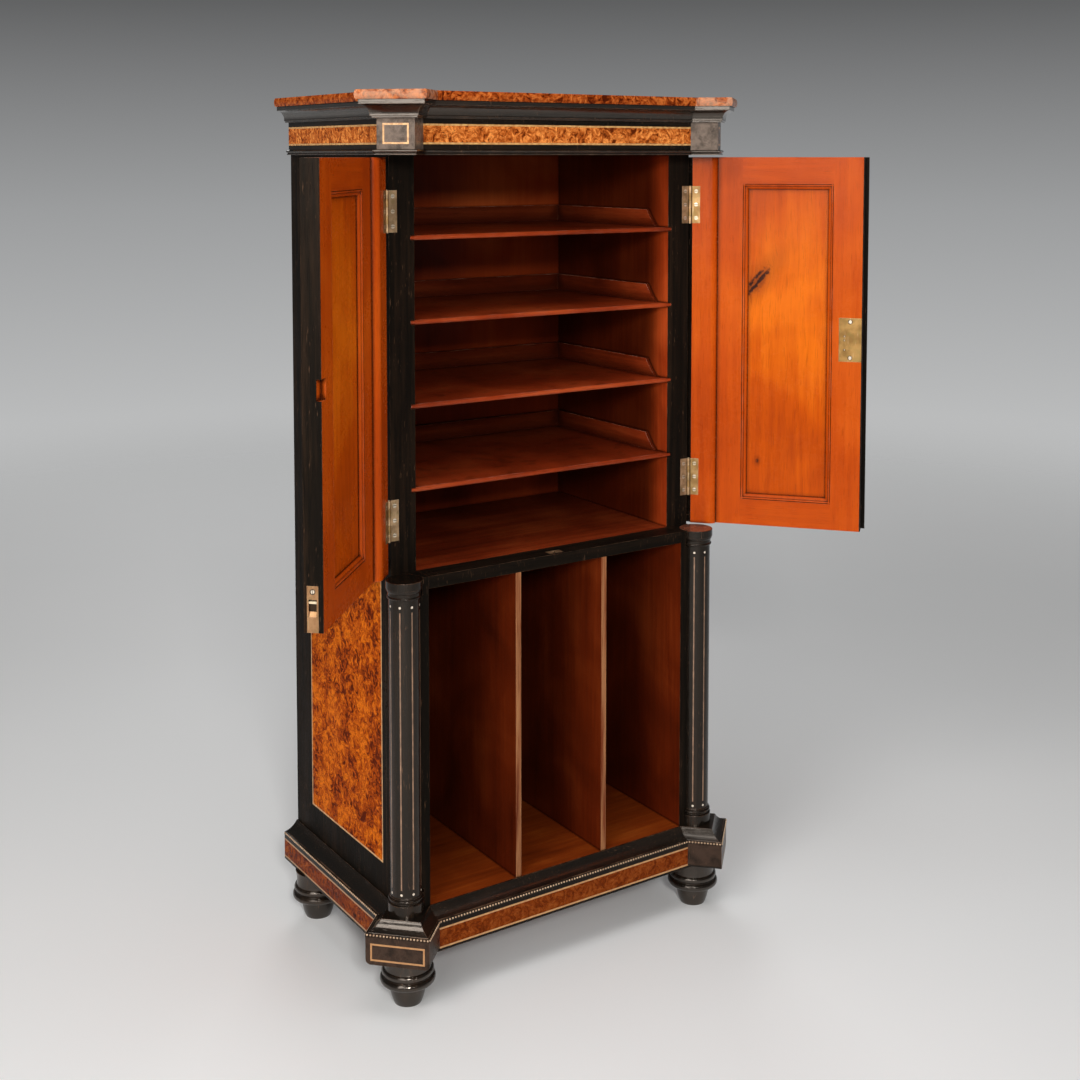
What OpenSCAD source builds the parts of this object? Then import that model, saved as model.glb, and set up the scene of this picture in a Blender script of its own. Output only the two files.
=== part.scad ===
// Folio cabinet in ebonised wood, burr veneer and mahogany: two panelled doors over four sliding trays,
// three upright folio divisions below, a canted corner column each side and four turned feet.
// X runs along the front, Y towards the back, Z up. The origin is on the floor, under the middle of the
// box round the cabinet with its doors open as they stand at rest.

/* [Carcass] */
// Height of the cabinet over its top board
cabinet_h = 1390; // [1300:1:1480]
// Width over the side frames
carcass_w = 578; // [540:1:640]
// Depth from the back to the front of the lower carcass
carcass_d = 389.5; // [370:0.5:440]
// How far the upper carcass stands behind the lower one
upper_setback = 39.5; // [38.5:0.5:42]
// Thickness of the side frames and panels
side_t = 18; // [14:0.5:22]
// Width of each corner post, as seen from the front
post_w = 43.5; // [41:0.5:50]
// Depth of the corner posts behind the upper front
post_d = 20; // [16:1:26]
// Thickness of the mahogany wall linings
lining_t = 12; // [10:0.5:14]
// Thickness of the shelf and the rail between the two openings
shelf_t = 19; // [15:0.5:25]
// Clear height of the lower opening
lower_open_h = 495; // [420:1:540]
// Thickness of the boards that close the back
back_board_t = 8; // [6:0.5:10]
// Thickness of the framing over the back boards
back_frame_t = 12; // [9:0.5:15]
// Width of the back framing's members
back_member_w = 62; // [50:1:80]
// Thickness of the board over the upper opening
inner_top_t = 14; // [10:0.5:18]

/* [Side panels] */
// Width of the frame behind the burr panel
side_back_stile_w = 60.5; // [45:0.5:75]
// Width of the frame before the burr panel, behind the corner post
side_front_stile_w = 12.5; // [8:0.5:20]
// Height of the side frame's bottom rail
side_bottom_rail_h = 64.5; // [50:0.5:80]
// Height of the side frame's top rail
side_top_rail_h = 50; // [40:0.5:70]

/* [Divisions] */
// Thickness of each upright division
divider_t = 10; // [8:0.5:13]
// Number of upright divisions
divider_count = 2; // [1:1:3]

/* [Top and frieze] */
// Thickness of the top board
top_t = 14; // [12:0.5:18]
// Width of the burr lipping round the top board
top_lip_t = 3; // [2.5:0.5:5]
// How far the rounded lipping bulges
top_bulge = 2; // [1:0.25:2.25]
// Overhang of the top board past the frieze
top_overhang = 26; // [22:0.5:30]
// Height of the fillet under the top board
fillet_h = 6; // [4:0.5:8]
// How far the fillet stands behind the top board's edge
fillet_in = 5; // [3:0.5:7]
// Height of the hollow moulding under the fillet
cove_h = 20.5; // [16:0.5:24]
// Height of the frieze
frieze_h = 46; // [42:0.5:54]
// Projection of the frieze past the carcass sides
frieze_side_out = 3.5; // [2:0.5:6]
// Projection of the frieze past the lower carcass front
frieze_front_out = 7; // [5:0.5:10]
// Height of the small moulding under the frieze
bead_h = 8; // [6:0.5:10]
// Projection of that moulding past the frieze
bead_out = 5; // [3:0.5:7]
// Face distance of the frieze's corner block from the column axis
frieze_block_face = 36.5; // [34:0.5:42]
// Half the width of the frieze's corner block
frieze_block_half = 29; // [26:0.5:34]

/* [Plinth and feet] */
// Height of the turned feet
foot_h = 80; // [66:1:95]
// Height of the plinth's upright face
plinth_h = 47.5; // [42:0.5:56]
// Height of the sloping hollow above the plinth face
slope_h = 15.5; // [13:0.5:19]
// Projection of the plinth past the carcass
plinth_out = 25.5; // [22:0.5:30]
// Thickness of the plinth's rails
plinth_rail_t = 50; // [44:1:60]
// Face distance of the plinth's corner block from the column axis
plinth_block_face = 54; // [52:0.5:58]
// Half the width of the plinth's corner block
plinth_block_half = 50; // [48:0.5:54]
// How far the block's hollow runs in at its top
block_slope_in = 19; // [16:0.5:20]
// Radius of the pearl beading's section
pearl_r = 1.7; // [1.4:0.1:2]
// Largest radius of a foot
foot_r = 43; // [38:0.5:46]
// Distance of the back feet's axis from the back
back_foot_y = 63.5; // [55:0.5:80]
// Radius of the spigot that holds a foot
spigot_r = 12.5; // [9:0.5:15]
// Height of that spigot
spigot_h = 30; // [20:1:40]

/* [Columns] */
// Distance of the corner blocks' centres in from the carcass side and front
column_in = 7.5; // [6:0.5:10]
// How far a column's axis stands out sideways from its blocks' centres
column_out = 2.2; // [0:0.2:2.6]
// Radius of a column's shaft
shaft_r = 24; // [22:0.5:25]
// Radius of a column's capital
cap_r = 28.3; // [27:0.1:29]
// Height of the capital's plain band
cap_band_h = 12; // [9:0.5:15]
// Height of the capital below that band, down to the necking
cap_neck_h = 15; // [12:0.5:18]
// Radius of the lower column's pedestal
pedestal_r = 28; // [27:0.1:29]
// Height of the pedestal
pedestal_h = 17.5; // [12:0.5:24]
// Height of the base rings over the pedestal
base_ring_h = 11; // [9:0.5:15]
// Number of inlaid lines round a full column
line_count = 8; // [6:1:10]
// Width of an inlaid line on a column
line_w = 2; // [1.4:0.1:2.4]
// Radius of the round inlay past each end of a line
dot_r = 1.9; // [1.4:0.1:2.2]
// Distance from the necking to a dot's centre
dot_in = 10.5; // [8:0.5:14]
// Distance from the lower base rings to a dot's centre
foot_dot_in = 5.5; // [4:0.5:8]
// Distance from a dot's centre to the end of its line
dot_gap = 7.5; // [5:0.5:12]

/* [Inlay] */
// Width of the boxwood stringing
string_w = 2.8; // [2:0.1:3.4]
// Depth of the stringing and burr veneer in their ground
inlay_t = 1; // [0.8:0.1:1.5]
// Height of the frieze's banding over its lines
frieze_band_h = 30.6; // [26:0.2:34]
// Height of the plinth's banding over its lines
plinth_band_h = 32.5; // [28:0.5:34]
// Distance from the plinth's bottom edge to its banding
plinth_band_z = 4; // [3:0.5:5]
// Width of the inlaid oblong on a frieze block
frieze_oblong_w = 40; // [34:0.5:42]
// Width of the inlaid oblong on a plinth block
plinth_oblong_w = 85; // [70:0.5:88]
// Height of the inlaid oblong on a plinth block
plinth_oblong_h = 27; // [22:0.5:30]

/* [Trays] */
// Thickness of a tray's board
tray_t = 7; // [6:0.5:8]
// Depth of the grooves that a tray slides in
groove_d = 7; // [5:0.5:8]
// Clearance round a tray's edge in its groove
tray_gap = 0.3; // [0.2:0.05:0.5]
// Height of the gallery round a tray
gallery_h = 29; // [20:0.5:36]
// Thickness of the gallery
gallery_t = 6; // [5:0.5:8]
// Distance from a tray's front edge to its side gallery
gallery_front_in = 28; // [20:0.5:36]
// Length of the slanting front end of a side gallery
gallery_scoop = 24; // [18:0.5:35]

/* [Doors] */
// Angle that the right door stands open at rest
right_open = 130.5; // [100:0.5:135]
// Angle that the left door stands open at rest
left_open = 133; // [100:0.5:135]
// Gap between the corner posts and the closed doors
door_gap = 1; // [0.8:0.1:1.4]
// Gap between the two closed doors
meeting_gap = 1.4; // [1:0.1:2.4]
// Gap under the doors
door_gap_bottom = 2; // [1.5:0.1:3]
// Gap over the doors
door_gap_top = 3.7; // [2:0.1:5]
// Step from the hinge post's back to the door's back
door_step = 11.2; // [9:0.1:13]
// Thickness of the facing on the doors' outside and meeting edges
facing_t = 1.5; // [1:0.1:2]
// Width of the door frame's hinge side stile
hinge_stile_w = 42.5; // [38:0.5:52]
// Width of the door frame's meeting stile
meeting_stile_w = 50; // [48:0.5:60]
// Height of the door frame's top rail
door_top_rail_h = 45; // [40:0.5:55]
// Height of the door frame's bottom rail
door_bottom_rail_h = 44; // [40:0.5:55]
// Width of the moulding round the door panel
panel_mould_w = 9.5; // [9:0.5:12]
// Depth of the door panel behind the frame's face
panel_sink = 7.5; // [6:0.1:9]
// Width of the cover bead on the right door
cover_bead_w = 12.4; // [10:0.2:15]
// Thickness of the cover bead
cover_bead_t = 5; // [3.5:0.25:5]

/* [Ironmongery] */
// Length of a butt hinge
hinge_l = 63.5; // [50:0.5:76]
// Width of a hinge leaf on the wood
leaf_w = 14; // [12:0.5:18]
// Thickness of a hinge leaf
leaf_t = 1.6; // [1.2:0.1:2]
// Radius of the hinge barrel
barrel_r = 3; // [2.8:0.1:3.4]
// Radius of the hinge pin
pin_r = 1.5; // [1.2:0.1:1.7]
// Running clearance round the hinge pin
pin_gap = 0.05; // [0.03:0.01:0.09]
// Distance from a door's end to its hinge's middle
hinge_inset = 81; // [60:1:110]
// Radius of the wood screws' heads
screw_r = 3.4; // [2.8:0.1:3.8]
// Height of the lock plate
lock_plate_h = 74; // [60:1:80]
// Width of the lock plate
lock_plate_w = 37.5; // [35:0.5:42]
// Height of the lock's middle over the bottom of the door
lock_z = 326; // [280:1:360]
// Throw of the lock's bolt
lock_throw = 8; // [5:0.5:10]
// Height of the flush bolt's plate
flush_plate_h = 63.5; // [55:0.5:72]
// Width of the flush bolt's plate
flush_plate_w = 16; // [14:0.5:18]
// Throw of the flush bolt
flush_throw = 9; // [6:0.5:10]

/* [Hidden] */
$fn = 64;

ebony = [0.09, 0.08, 0.07];
mahogany = [0.55, 0.2, 0.08];
burr = [0.75, 0.36, 0.1];
boxwood = [0.9, 0.7, 0.42];
brass = [0.72, 0.58, 0.3];

tray_count = 4;
touch = 0.2;
far = 2000;
half_w = carcass_w / 2;
open_half = half_w - post_w;
upper_d = carcass_d - upper_setback;
back_in = back_frame_t + back_board_t;

z_plinth = foot_h;
z_slope = z_plinth + plinth_h;
z_floor = z_slope + slope_h;
z_rail = z_floor + lower_open_h;
z_shelf = z_rail + shelf_t;
z_top = cabinet_h - top_t;
z_fillet = z_top - fillet_h;
z_frieze_top = z_fillet - cove_h;
z_frieze = z_frieze_top - frieze_h;
z_bead = z_frieze - bead_h;
z_door = z_shelf + door_gap_bottom;
z_door_top = z_bead - door_gap_top;

column_x = half_w - column_in;
column_y = carcass_d - column_in;
skew = column_x - column_y;
shaft_x = column_x + column_out;
frieze_half = half_w + frieze_side_out;
frieze_d = carcass_d + frieze_front_out;
plinth_half = half_w + plinth_out;
plinth_d = carcass_d + plinth_out;
top_block_face = frieze_block_face + top_overhang;
top_block_half = frieze_block_half + top_overhang;

hinge_x = half_w + barrel_r + touch;
hinge_y = -(upper_d + door_gap / 2);
post_back_y = -(upper_d + door_gap);
door_back_y = post_back_y - door_step;
door_face_y = -(carcass_d - 0.5);
door_frame_y = door_face_y + facing_t;
door_post_out = half_w - 0.5;
door_out = open_half + 0.7;
door_in = meeting_gap / 2;
panel_out = door_out - hinge_stile_w;
panel_in = door_in + meeting_stile_w;
panel_z = z_door + door_bottom_rail_h;
panel_top = z_door_top - door_top_rail_h;

open_reach = hinge_x - door_in;
front_reach = -hinge_y + open_reach * sin(right_open) - (door_step + door_gap / 2) * cos(180 - right_open);
back_y = front_reach / 2;

// Points on the arc from p to q that bulges by s to the right of the way, without its first point
function sag_arc(p, q, s, n = 8) = let (
    c = norm(q - p), r = (c * c / 4 + s * s) / (2 * abs(s)), u = (q - p) / c, v = [u[1], -u[0]],
    side = s > 0 ? 1 : -1, mid = (p + q) / 2 - v * side * (r - abs(s)), a = asin(min(1, c / 2 / r)))
    [for (i = [1:n]) let (t = -a + 2 * a * i / n) mid + u * r * sin(t) + v * side * r * cos(t)];

function front_run_half(d, block_half) = d + skew - block_half * sqrt(2);
function side_run_end(w, block_half) = w - skew - block_half * sqrt(2);

module place() translate([0, back_y, 0]) children();
module both_sides() { children(); mirror([1, 0, 0]) children(); }
module box(x0, x1, y0, y1, z0, z1) translate([x0, y0, z0]) cube([x1 - x0, y1 - y0, z1 - z0]);

// A section given as [outward, height] points is swept along the front and both sides
module moulded_body(w, d, section) {
    n = len(section) - 1;
    intersection() {
        translate([-far / 2, 0, 0]) rotate([90, 0, 90]) linear_extrude(far)
            polygon(concat([for (p = section) [-(d + p[0]), p[1]]],
                [[0, section[n][1]], [0, section[0][1]]]));
        rotate([90, 0, 0]) linear_extrude(far)
            polygon(concat([for (p = section) [w + p[0], p[1]]],
                [for (i = [n:-1:0]) [-w - section[i][0], section[i][1]]]));
    }
}

// The same section round a block that is canted across the corner, centred on the column's axis
module moulded_block(face, half, back, section) {
    n = len(section) - 1;
    translate([column_x, -column_y, 0]) rotate(-45) intersection() {
        translate([0, far / 2, 0]) rotate([90, 0, 0]) linear_extrude(far)
            polygon(concat([for (p = section) [face + p[0], p[1]]],
                [[-back, section[n][1]], [-back, section[0][1]]]));
        translate([-far / 2, 0, 0]) rotate([90, 0, 90]) linear_extrude(far)
            polygon(concat([for (p = section) [half + p[0], p[1]]],
                [for (i = [n:-1:0]) [-half - section[i][0], section[i][1]]]));
    }
}

module canted(w, d, face, half, back, section) {
    moulded_body(w, d, section);
    both_sides() moulded_block(face, half, back, section);
}

// The space inside the frieze and cornice
module top_void() box(-half_w + side_t, half_w - side_t, -(upper_d - 4), far, z_bead - 1, z_top + 1);

// A flat ground for banding, sunk by depth in the faces of the runs between the blocks
module band_ground(w, d, block_half, depth, z0, z1) {
    x = front_run_half(d, block_half);
    box(-x, x, -d, -d + depth, z0, z1);
    both_sides() box(w - depth, w, -side_run_end(w, block_half), 0, z0, z1);
}

// An oblong line on the canted face of a block
module block_oblong(face, w, h, line, depth, z) translate([column_x, -column_y, 0]) rotate(-45)
    difference() {
        box(face - depth, face, -w / 2, w / 2, z, z + h);
        if (line < w / 2) box(face - 2 * depth, face + depth,
            -w / 2 + line, w / 2 - line, z + line, z + h - line);
    }

frieze_band_z = z_frieze + (frieze_h - frieze_band_h) / 2;
plinth_band_low = z_plinth + plinth_band_z;
plinth_oblong_z = z_plinth + plinth_band_z + 2;
pearl_z = z_slope - pearl_r;

// The pearl beading is a half-round strip along the top of the plinth's face
module pearl_beading() color(boxwood) place() difference() {
    canted(plinth_half, plinth_d, plinth_block_face, plinth_block_half, 20,
        concat([[0, pearl_z - pearl_r]],
            sag_arc([0, pearl_z - pearl_r], [0, pearl_z + pearl_r], pearl_r, 8)));
    canted(plinth_half, plinth_d, plinth_block_face, plinth_block_half, 21,
        [[0, z_plinth], [0, z_floor]]);
    box(-plinth_half + 1, plinth_half - 1, -plinth_d + 1, far, z_plinth, z_floor);
}

module top_board() color(ebony) place()
    canted(frieze_half, frieze_d, frieze_block_face, frieze_block_half, 20,
        [[top_overhang - top_lip_t, z_top], [top_overhang - top_lip_t, cabinet_h]]);

module top_lipping() difference() {
    canted(frieze_half, frieze_d, frieze_block_face, frieze_block_half, 20,
        concat([[top_overhang - top_bulge, z_top]],
            sag_arc([top_overhang - top_bulge, z_top], [top_overhang - top_bulge, cabinet_h], top_bulge)));
    canted(frieze_half, frieze_d, frieze_block_face, frieze_block_half, 20,
        [[top_overhang - top_lip_t, z_top - 1], [top_overhang - top_lip_t, cabinet_h + 1]]);
}

module cornice_moulding() color(ebony) place() difference() {
    canted(frieze_half, frieze_d, frieze_block_face, frieze_block_half, 20,
        concat([[6, z_frieze_top], [6, z_frieze_top + 2.5], [8, z_frieze_top + 2.5]],
            sag_arc([8, z_frieze_top + 2.5], [top_overhang - fillet_in - 1.5, z_fillet - 1], -4),
            [[top_overhang - fillet_in, z_fillet - 1], [top_overhang - fillet_in, z_top]]));
    top_void();
}

module frieze_frame() color(ebony) place() difference() {
    canted(frieze_half, frieze_d, frieze_block_face, frieze_block_half, 20,
        [[0, z_frieze], [0, z_frieze_top]]);
    top_void();
    band_ground(frieze_half, frieze_d, frieze_block_half, inlay_t,
        frieze_band_z, frieze_band_z + frieze_band_h);
    both_sides()
        block_oblong(frieze_block_face, frieze_oblong_w, frieze_band_h, string_w, inlay_t, frieze_band_z);
}

module frieze_bead() color(ebony) place() difference() {
    canted(frieze_half, frieze_d, frieze_block_face, frieze_block_half, 20,
        concat([[bead_out - 1.5, z_bead], [bead_out - 1.5, z_bead + 1.5], [bead_out - 3, z_bead + 2.5],
            [bead_out - 2, z_frieze - 4.4]],
            sag_arc([bead_out - 2, z_frieze - 4.4], [bead_out - 2, z_frieze - 0.4], 2),
            [[bead_out - 3, z_frieze]]));
    top_void();
}

module inner_top_board() color(mahogany) place()
    box(-half_w + side_t, half_w - side_t, -(upper_d - 4), -back_in, z_bead, z_bead + inner_top_t);

side_front_y = -(upper_d - post_d);
side_panel_y0 = side_front_y + side_front_stile_w;
side_panel_z0 = z_slope + side_bottom_rail_h;
side_panel_z1 = z_bead - side_top_rail_h;

module side_frames() color(ebony) place() both_sides() {
    box(half_w - side_t, half_w, -side_back_stile_w, 0, z_slope, z_bead);
    box(half_w - side_t, half_w, side_front_y, side_panel_y0, z_slope, z_bead);
    box(half_w - side_t, half_w, side_panel_y0, -side_back_stile_w, z_slope, side_panel_z0);
    box(half_w - side_t, half_w, side_panel_y0, -side_back_stile_w, side_panel_z1, z_bead);
}

module side_string() difference() {
    box(half_w - inlay_t, half_w, side_panel_y0, -side_back_stile_w, side_panel_z0, side_panel_z1);
    box(half_w - 2 * inlay_t, half_w + inlay_t, side_panel_y0 + string_w, -side_back_stile_w - string_w,
        side_panel_z0 + string_w, side_panel_z1 - string_w);
}

module side_panels() color(burr) place() both_sides() difference() {
    box(half_w - side_t, half_w, side_panel_y0, -side_back_stile_w, side_panel_z0, side_panel_z1);
    side_string();
}

tray_pitch = (z_bead - z_shelf - tray_count * tray_t) / (tray_count + 1) + tray_t;
function tray_z(i) = z_bead - i * tray_pitch;

module tray_grooves() for (i = [1:tray_count])
    box(open_half - 1, open_half + groove_d, -far, -back_in + 1,
        tray_z(i) - tray_gap, tray_z(i) + tray_t + tray_gap);

// The linings run on as thin leaves over the inner faces of the front posts
reveal_t = 4;
reveal_in = 1;
module lower_reveal(back) box(open_half, open_half + reveal_t, -carcass_d + reveal_in, back, z_floor, z_rail);
module upper_reveal(back) box(open_half, open_half + reveal_t, -upper_d + reveal_in, back, z_shelf, z_bead);

module wall_linings() color(mahogany) place() both_sides() {
    box(open_half, open_half + lining_t, side_front_y, -back_in, z_floor, z_rail);
    lower_reveal(side_front_y + 1);
    difference() {
        union() {
            box(open_half, open_half + lining_t, side_front_y, -back_in, z_shelf, z_bead);
            upper_reveal(side_front_y + 1);
        }
        tray_grooves();
    }
}

// The space that a corner column takes out of what stands behind it
module column_seat(z0, z1, foot_zone, foot_zone_r) translate([shaft_x, -column_y, 0]) {
    translate([0, 0, z0 - 1]) cylinder(r = shaft_r + touch, h = z1 - z0 + 2);
    translate([0, 0, z0]) cylinder(r = foot_zone_r + touch, h = foot_zone + touch);
    translate([0, 0, z1 - cap_band_h - cap_neck_h - touch]) cylinder(r = cap_r + touch, h = far);
}

module front_post() difference() {
    union() {
        box(open_half, half_w, side_front_y - upper_setback - post_d, side_front_y, z_slope, z_shelf);
        box(open_half, half_w, -upper_d, side_front_y, z_shelf, z_bead);
    }
    intersection() {
        column_seat(z_floor, z_shelf, pedestal_h + base_ring_h, pedestal_r);
        box(0, far, -far, -upper_d, z_floor, z_shelf + touch);
    }
    lower_reveal(side_front_y);
    upper_reveal(side_front_y);
    tray_grooves();
    hinge_heights() leaf_plate();
    carcass_screws();
}

module left_front_post() color(ebony) place() mirror([1, 0, 0]) front_post();
module right_front_post() color(ebony) place() front_post();

module back_frame() color(ebony) place() {
    x = half_w - side_t;
    m = back_member_w;
    mid = (z_rail + z_shelf) / 2;
    both_sides() box(x - m, x, -back_frame_t, 0, z_slope, z_top);
    box(-x + m, x - m, -back_frame_t, 0, z_slope, z_slope + m);
    box(-x + m, x - m, -back_frame_t, 0, mid - m / 2, mid + m / 2);
    box(-x + m, x - m, -back_frame_t, 0, z_top - m, z_top);
    box(-m / 2, m / 2, -back_frame_t, 0, z_slope + m, mid - m / 2);
    box(-m / 2, m / 2, -back_frame_t, 0, mid + m / 2, z_top - m);
}

module back_boards() color(mahogany) place() {
    x = half_w - side_t;
    mid = (z_rail + z_shelf) / 2;
    box(-x, x, -back_in, -back_frame_t, z_slope, mid);
    box(-x, x, -back_in, -back_frame_t, mid, z_top);
}

module shelf_board() color(mahogany) place() {
    x = open_half + lining_t;
    union() {
        box(-x, x, side_front_y, -back_in, z_rail, z_shelf);
        box(-open_half, open_half, -upper_d, side_front_y, z_rail, z_shelf);
    }
}

flush_x = door_in + 6.2;
flush_y = door_face_y + 12;
keep_l = 26;
keep_w = 14;
keep_t = 1.5;

module keep_plate(grow) box(-flush_x - keep_l / 2 - grow, -flush_x + keep_l / 2 + grow,
    flush_y - keep_w / 2 - grow, flush_y + keep_w / 2 + grow, z_shelf - keep_t, z_shelf);

module mid_rail() color(ebony) place() difference() {
    box(-open_half, open_half, -carcass_d, -upper_d, z_rail, z_shelf);
    keep_plate(0);
    box(-flush_x - 4, -flush_x + 4, flush_y - 4.5, flush_y + 4.5, z_shelf - flush_throw - 4, z_shelf + 1);
}

module bolt_keep() color(brass) place() difference() {
    keep_plate(0);
    box(-flush_x - 3.4, -flush_x + 3.4, flush_y - 4.2, flush_y + 4.2, z_shelf - 5, z_shelf + 1);
}

module base_board() color(mahogany) place() union() {
    x = open_half + lining_t;
    box(-x, x, side_front_y, -back_in, z_slope, z_floor);
    box(-open_half, open_half, -carcass_d, side_front_y, z_slope, z_floor);
}

module dividers() color(mahogany) place() {
    bay = (2 * open_half - divider_count * divider_t) / (divider_count + 1);
    for (i = [1:divider_count]) {
        x = -open_half + i * bay + (i - 1) * divider_t;
        box(x, x + divider_t, -carcass_d, -back_in, z_floor, z_rail);
    }
}

// A turned column: half its section as [radius, height] points, then the sunk lines and dots
module column(z0, z1, foot_section, low_in) difference() {
    cap = z1 - cap_band_h;
    neck = cap - cap_neck_h;
    translate([shaft_x, -column_y, 0]) rotate_extrude() polygon(concat([[0, z0]], foot_section,
        [[shaft_r, neck], [shaft_r + 1.2, neck]],
        sag_arc([shaft_r + 1.2, neck], [shaft_r + 1.2, neck + 4.4], 1.4, 6),
        [[shaft_r + 1.2, cap - 6]],
        sag_arc([shaft_r + 1.2, cap - 6], [cap_r - 0.8, cap - 0.6], 0.6, 4),
        [[cap_r - 0.8, cap], [cap_r, cap], [cap_r, z1 - 0.5], [cap_r - 0.5, z1], [0, z1]]));
    column_inlay(z0 + foot_section_h(foot_section, z0), neck, low_in);
}
function foot_section_h(section, z0) = section[len(section) - 1][1] - z0;

line_depth = inlay_t * 0.6;

// Lines and dots go round the column from its front, leaving out those that would be hidden behind it
function line_angle(i) = -90 + i * 360 / line_count;
module column_inlay(z0, z1, low_in) translate([shaft_x, -column_y, 0])
    for (i = [0:line_count - 1]) if (cos(line_angle(i) - 135) < 0.3) rotate(line_angle(i)) {
        box(shaft_r - line_depth, shaft_r + 0.05, -line_w / 2, line_w / 2,
            z0 + low_in + dot_gap, z1 - dot_in - dot_gap);
        for (z = [z0 + low_in, z1 - dot_in])
            translate([shaft_r - line_depth, 0, z]) rotate([0, 90, 0])
                cylinder(r = dot_r, h = line_depth + 0.05);
    }

// A plain pedestal with a rubbed edge, a quirk, a bold ring and a fine bead under the shaft
ring_r = pedestal_r - 3;
ring_z = z_floor + pedestal_h;
base_k = base_ring_h / 11;
lower_foot = concat([[pedestal_r, z_floor], [pedestal_r, ring_z - 0.8], [pedestal_r - 0.8, ring_z],
        [ring_r, ring_z + 1.2 * base_k], [ring_r, ring_z + 2.6 * base_k]],
    sag_arc([ring_r, ring_z + 2.6 * base_k], [ring_r, ring_z + 8 * base_k], 2.3, 8),
    [[shaft_r + 0.5, ring_z + 8.2 * base_k]],
    sag_arc([shaft_r + 0.5, ring_z + 8.2 * base_k], [shaft_r + 0.5, ring_z + 10.6 * base_k], 0.9, 6),
    [[shaft_r, ring_z + base_ring_h]]);

upper_base = z_door + cap_band_h;
upper_foot = concat([[cap_r - 0.5, z_door], [cap_r, z_door + 0.5],
        [cap_r, upper_base], [cap_r - 0.8, upper_base]],
    sag_arc([cap_r - 0.8, upper_base + 0.6], [shaft_r + 1.2, upper_base + 6], 0.6, 4),
    [[shaft_r + 1.2, upper_base + cap_neck_h - 4.4]],
    sag_arc([shaft_r + 1.2, upper_base + cap_neck_h - 4.4], [shaft_r + 1.2, upper_base + cap_neck_h], 1.4, 6),
    [[shaft_r, upper_base + cap_neck_h]]);

module lower_column() column(z_floor, z_shelf, lower_foot, foot_dot_in);
module left_lower_column() color(ebony) place() mirror([1, 0, 0]) lower_column();
module right_lower_column() color(ebony) place() lower_column();

module spigot_hole(x, y) translate([x, y, z_plinth - 1]) cylinder(r = spigot_r + touch / 2, h = spigot_h + 2);

module plinth_frame() color(ebony) place() difference() {
    union() {
        difference() {
            moulded_body(plinth_half, plinth_d, [[0, z_plinth], [0, z_slope]]);
            box(-plinth_half + plinth_rail_t, plinth_half - plinth_rail_t, -plinth_d + plinth_rail_t, far,
                z_plinth - 1, z_slope + 1);
        }
        both_sides() translate([column_x, -column_y, 0]) rotate(-45) plinth_block();
        box(-plinth_half + plinth_rail_t - 1, plinth_half - plinth_rail_t + 1, -22, 0, z_plinth, z_slope);
    }
    band_ground(plinth_half, plinth_d, plinth_block_half, inlay_t,
        plinth_band_low, plinth_band_low + plinth_band_h);
    both_sides() {
        block_oblong(plinth_block_face, plinth_oblong_w, plinth_oblong_h, string_w, inlay_t, plinth_oblong_z);
        spigot_hole(column_x, -column_y);
        spigot_hole(column_x, -back_foot_y);
    }
}

// The block is square in plan, with its lower corners rounded on the returns
module plinth_block() {
    r = 8;
    h = plinth_block_half;
    translate([-h, 0, 0]) rotate([90, 0, 90]) linear_extrude(h + plinth_block_face)
        polygon(concat([[h - r, z_plinth]],
            sag_arc([h - r, z_plinth], [h, z_plinth + r], r * (1 - sqrt(0.5)), 6),
            [[h, z_slope], [-h, z_slope], [-h, z_plinth + r]],
            sag_arc([-h, z_plinth + r], [-h + r, z_plinth], r * (1 - sqrt(0.5)), 6)));
}

module plinth_moulding() color(ebony) place() difference() {
    union() {
        moulded_body(plinth_half, plinth_d, concat([[-2, z_slope]],
            sag_arc([-2, z_slope], [-plinth_out + 3, z_floor - 1], -2.6),
            [[-plinth_out + 2, z_floor], [-plinth_out - 1, z_floor]]));
        both_sides() moulded_block(plinth_block_face, plinth_block_half, plinth_block_half - block_slope_in,
            concat([[-2, z_slope]], sag_arc([-2, z_slope], [-block_slope_in + 1, z_floor - 1], -2.2),
                [[-block_slope_in, z_floor]]));
    }
    box(-half_w, half_w, -carcass_d, far, z_slope - 1, z_floor + 1);
}

module burr_banding() color(burr) place() {
    top_lipping();
    band_ground(frieze_half, frieze_d, frieze_block_half, inlay_t,
        frieze_band_z + string_w, frieze_band_z + frieze_band_h - string_w);
    band_ground(plinth_half, plinth_d, plinth_block_half, inlay_t,
        plinth_band_low + string_w, plinth_band_low + plinth_band_h - string_w);
}

module boxwood_stringing() color(boxwood) place() {
    for (z = [frieze_band_z, frieze_band_z + frieze_band_h - string_w])
        band_ground(frieze_half, frieze_d, frieze_block_half, inlay_t, z, z + string_w);
    for (z = [plinth_band_low, plinth_band_low + plinth_band_h - string_w])
        band_ground(plinth_half, plinth_d, plinth_block_half, inlay_t, z, z + string_w);
    both_sides() {
        block_oblong(frieze_block_face, frieze_oblong_w, frieze_band_h, string_w, inlay_t, frieze_band_z);
        block_oblong(plinth_block_face, plinth_oblong_w, plinth_oblong_h, string_w, inlay_t, plinth_oblong_z);
        side_string();
        column_strings(ring_z + base_ring_h, z_shelf - cap_band_h - cap_neck_h, foot_dot_in);
    }
}

module column_strings(z0, z1, low_in) intersection() {
    column_inlay(z0, z1, low_in);
    translate([shaft_x, -column_y, z0]) cylinder(r = shaft_r, h = z1 - z0);
}

module rear_foot_blocks() color(mahogany) place() both_sides()
    box(plinth_half - plinth_rail_t - 40, plinth_half - plinth_rail_t,
        -back_foot_y - 42, -22, z_plinth, z_slope);

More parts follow.
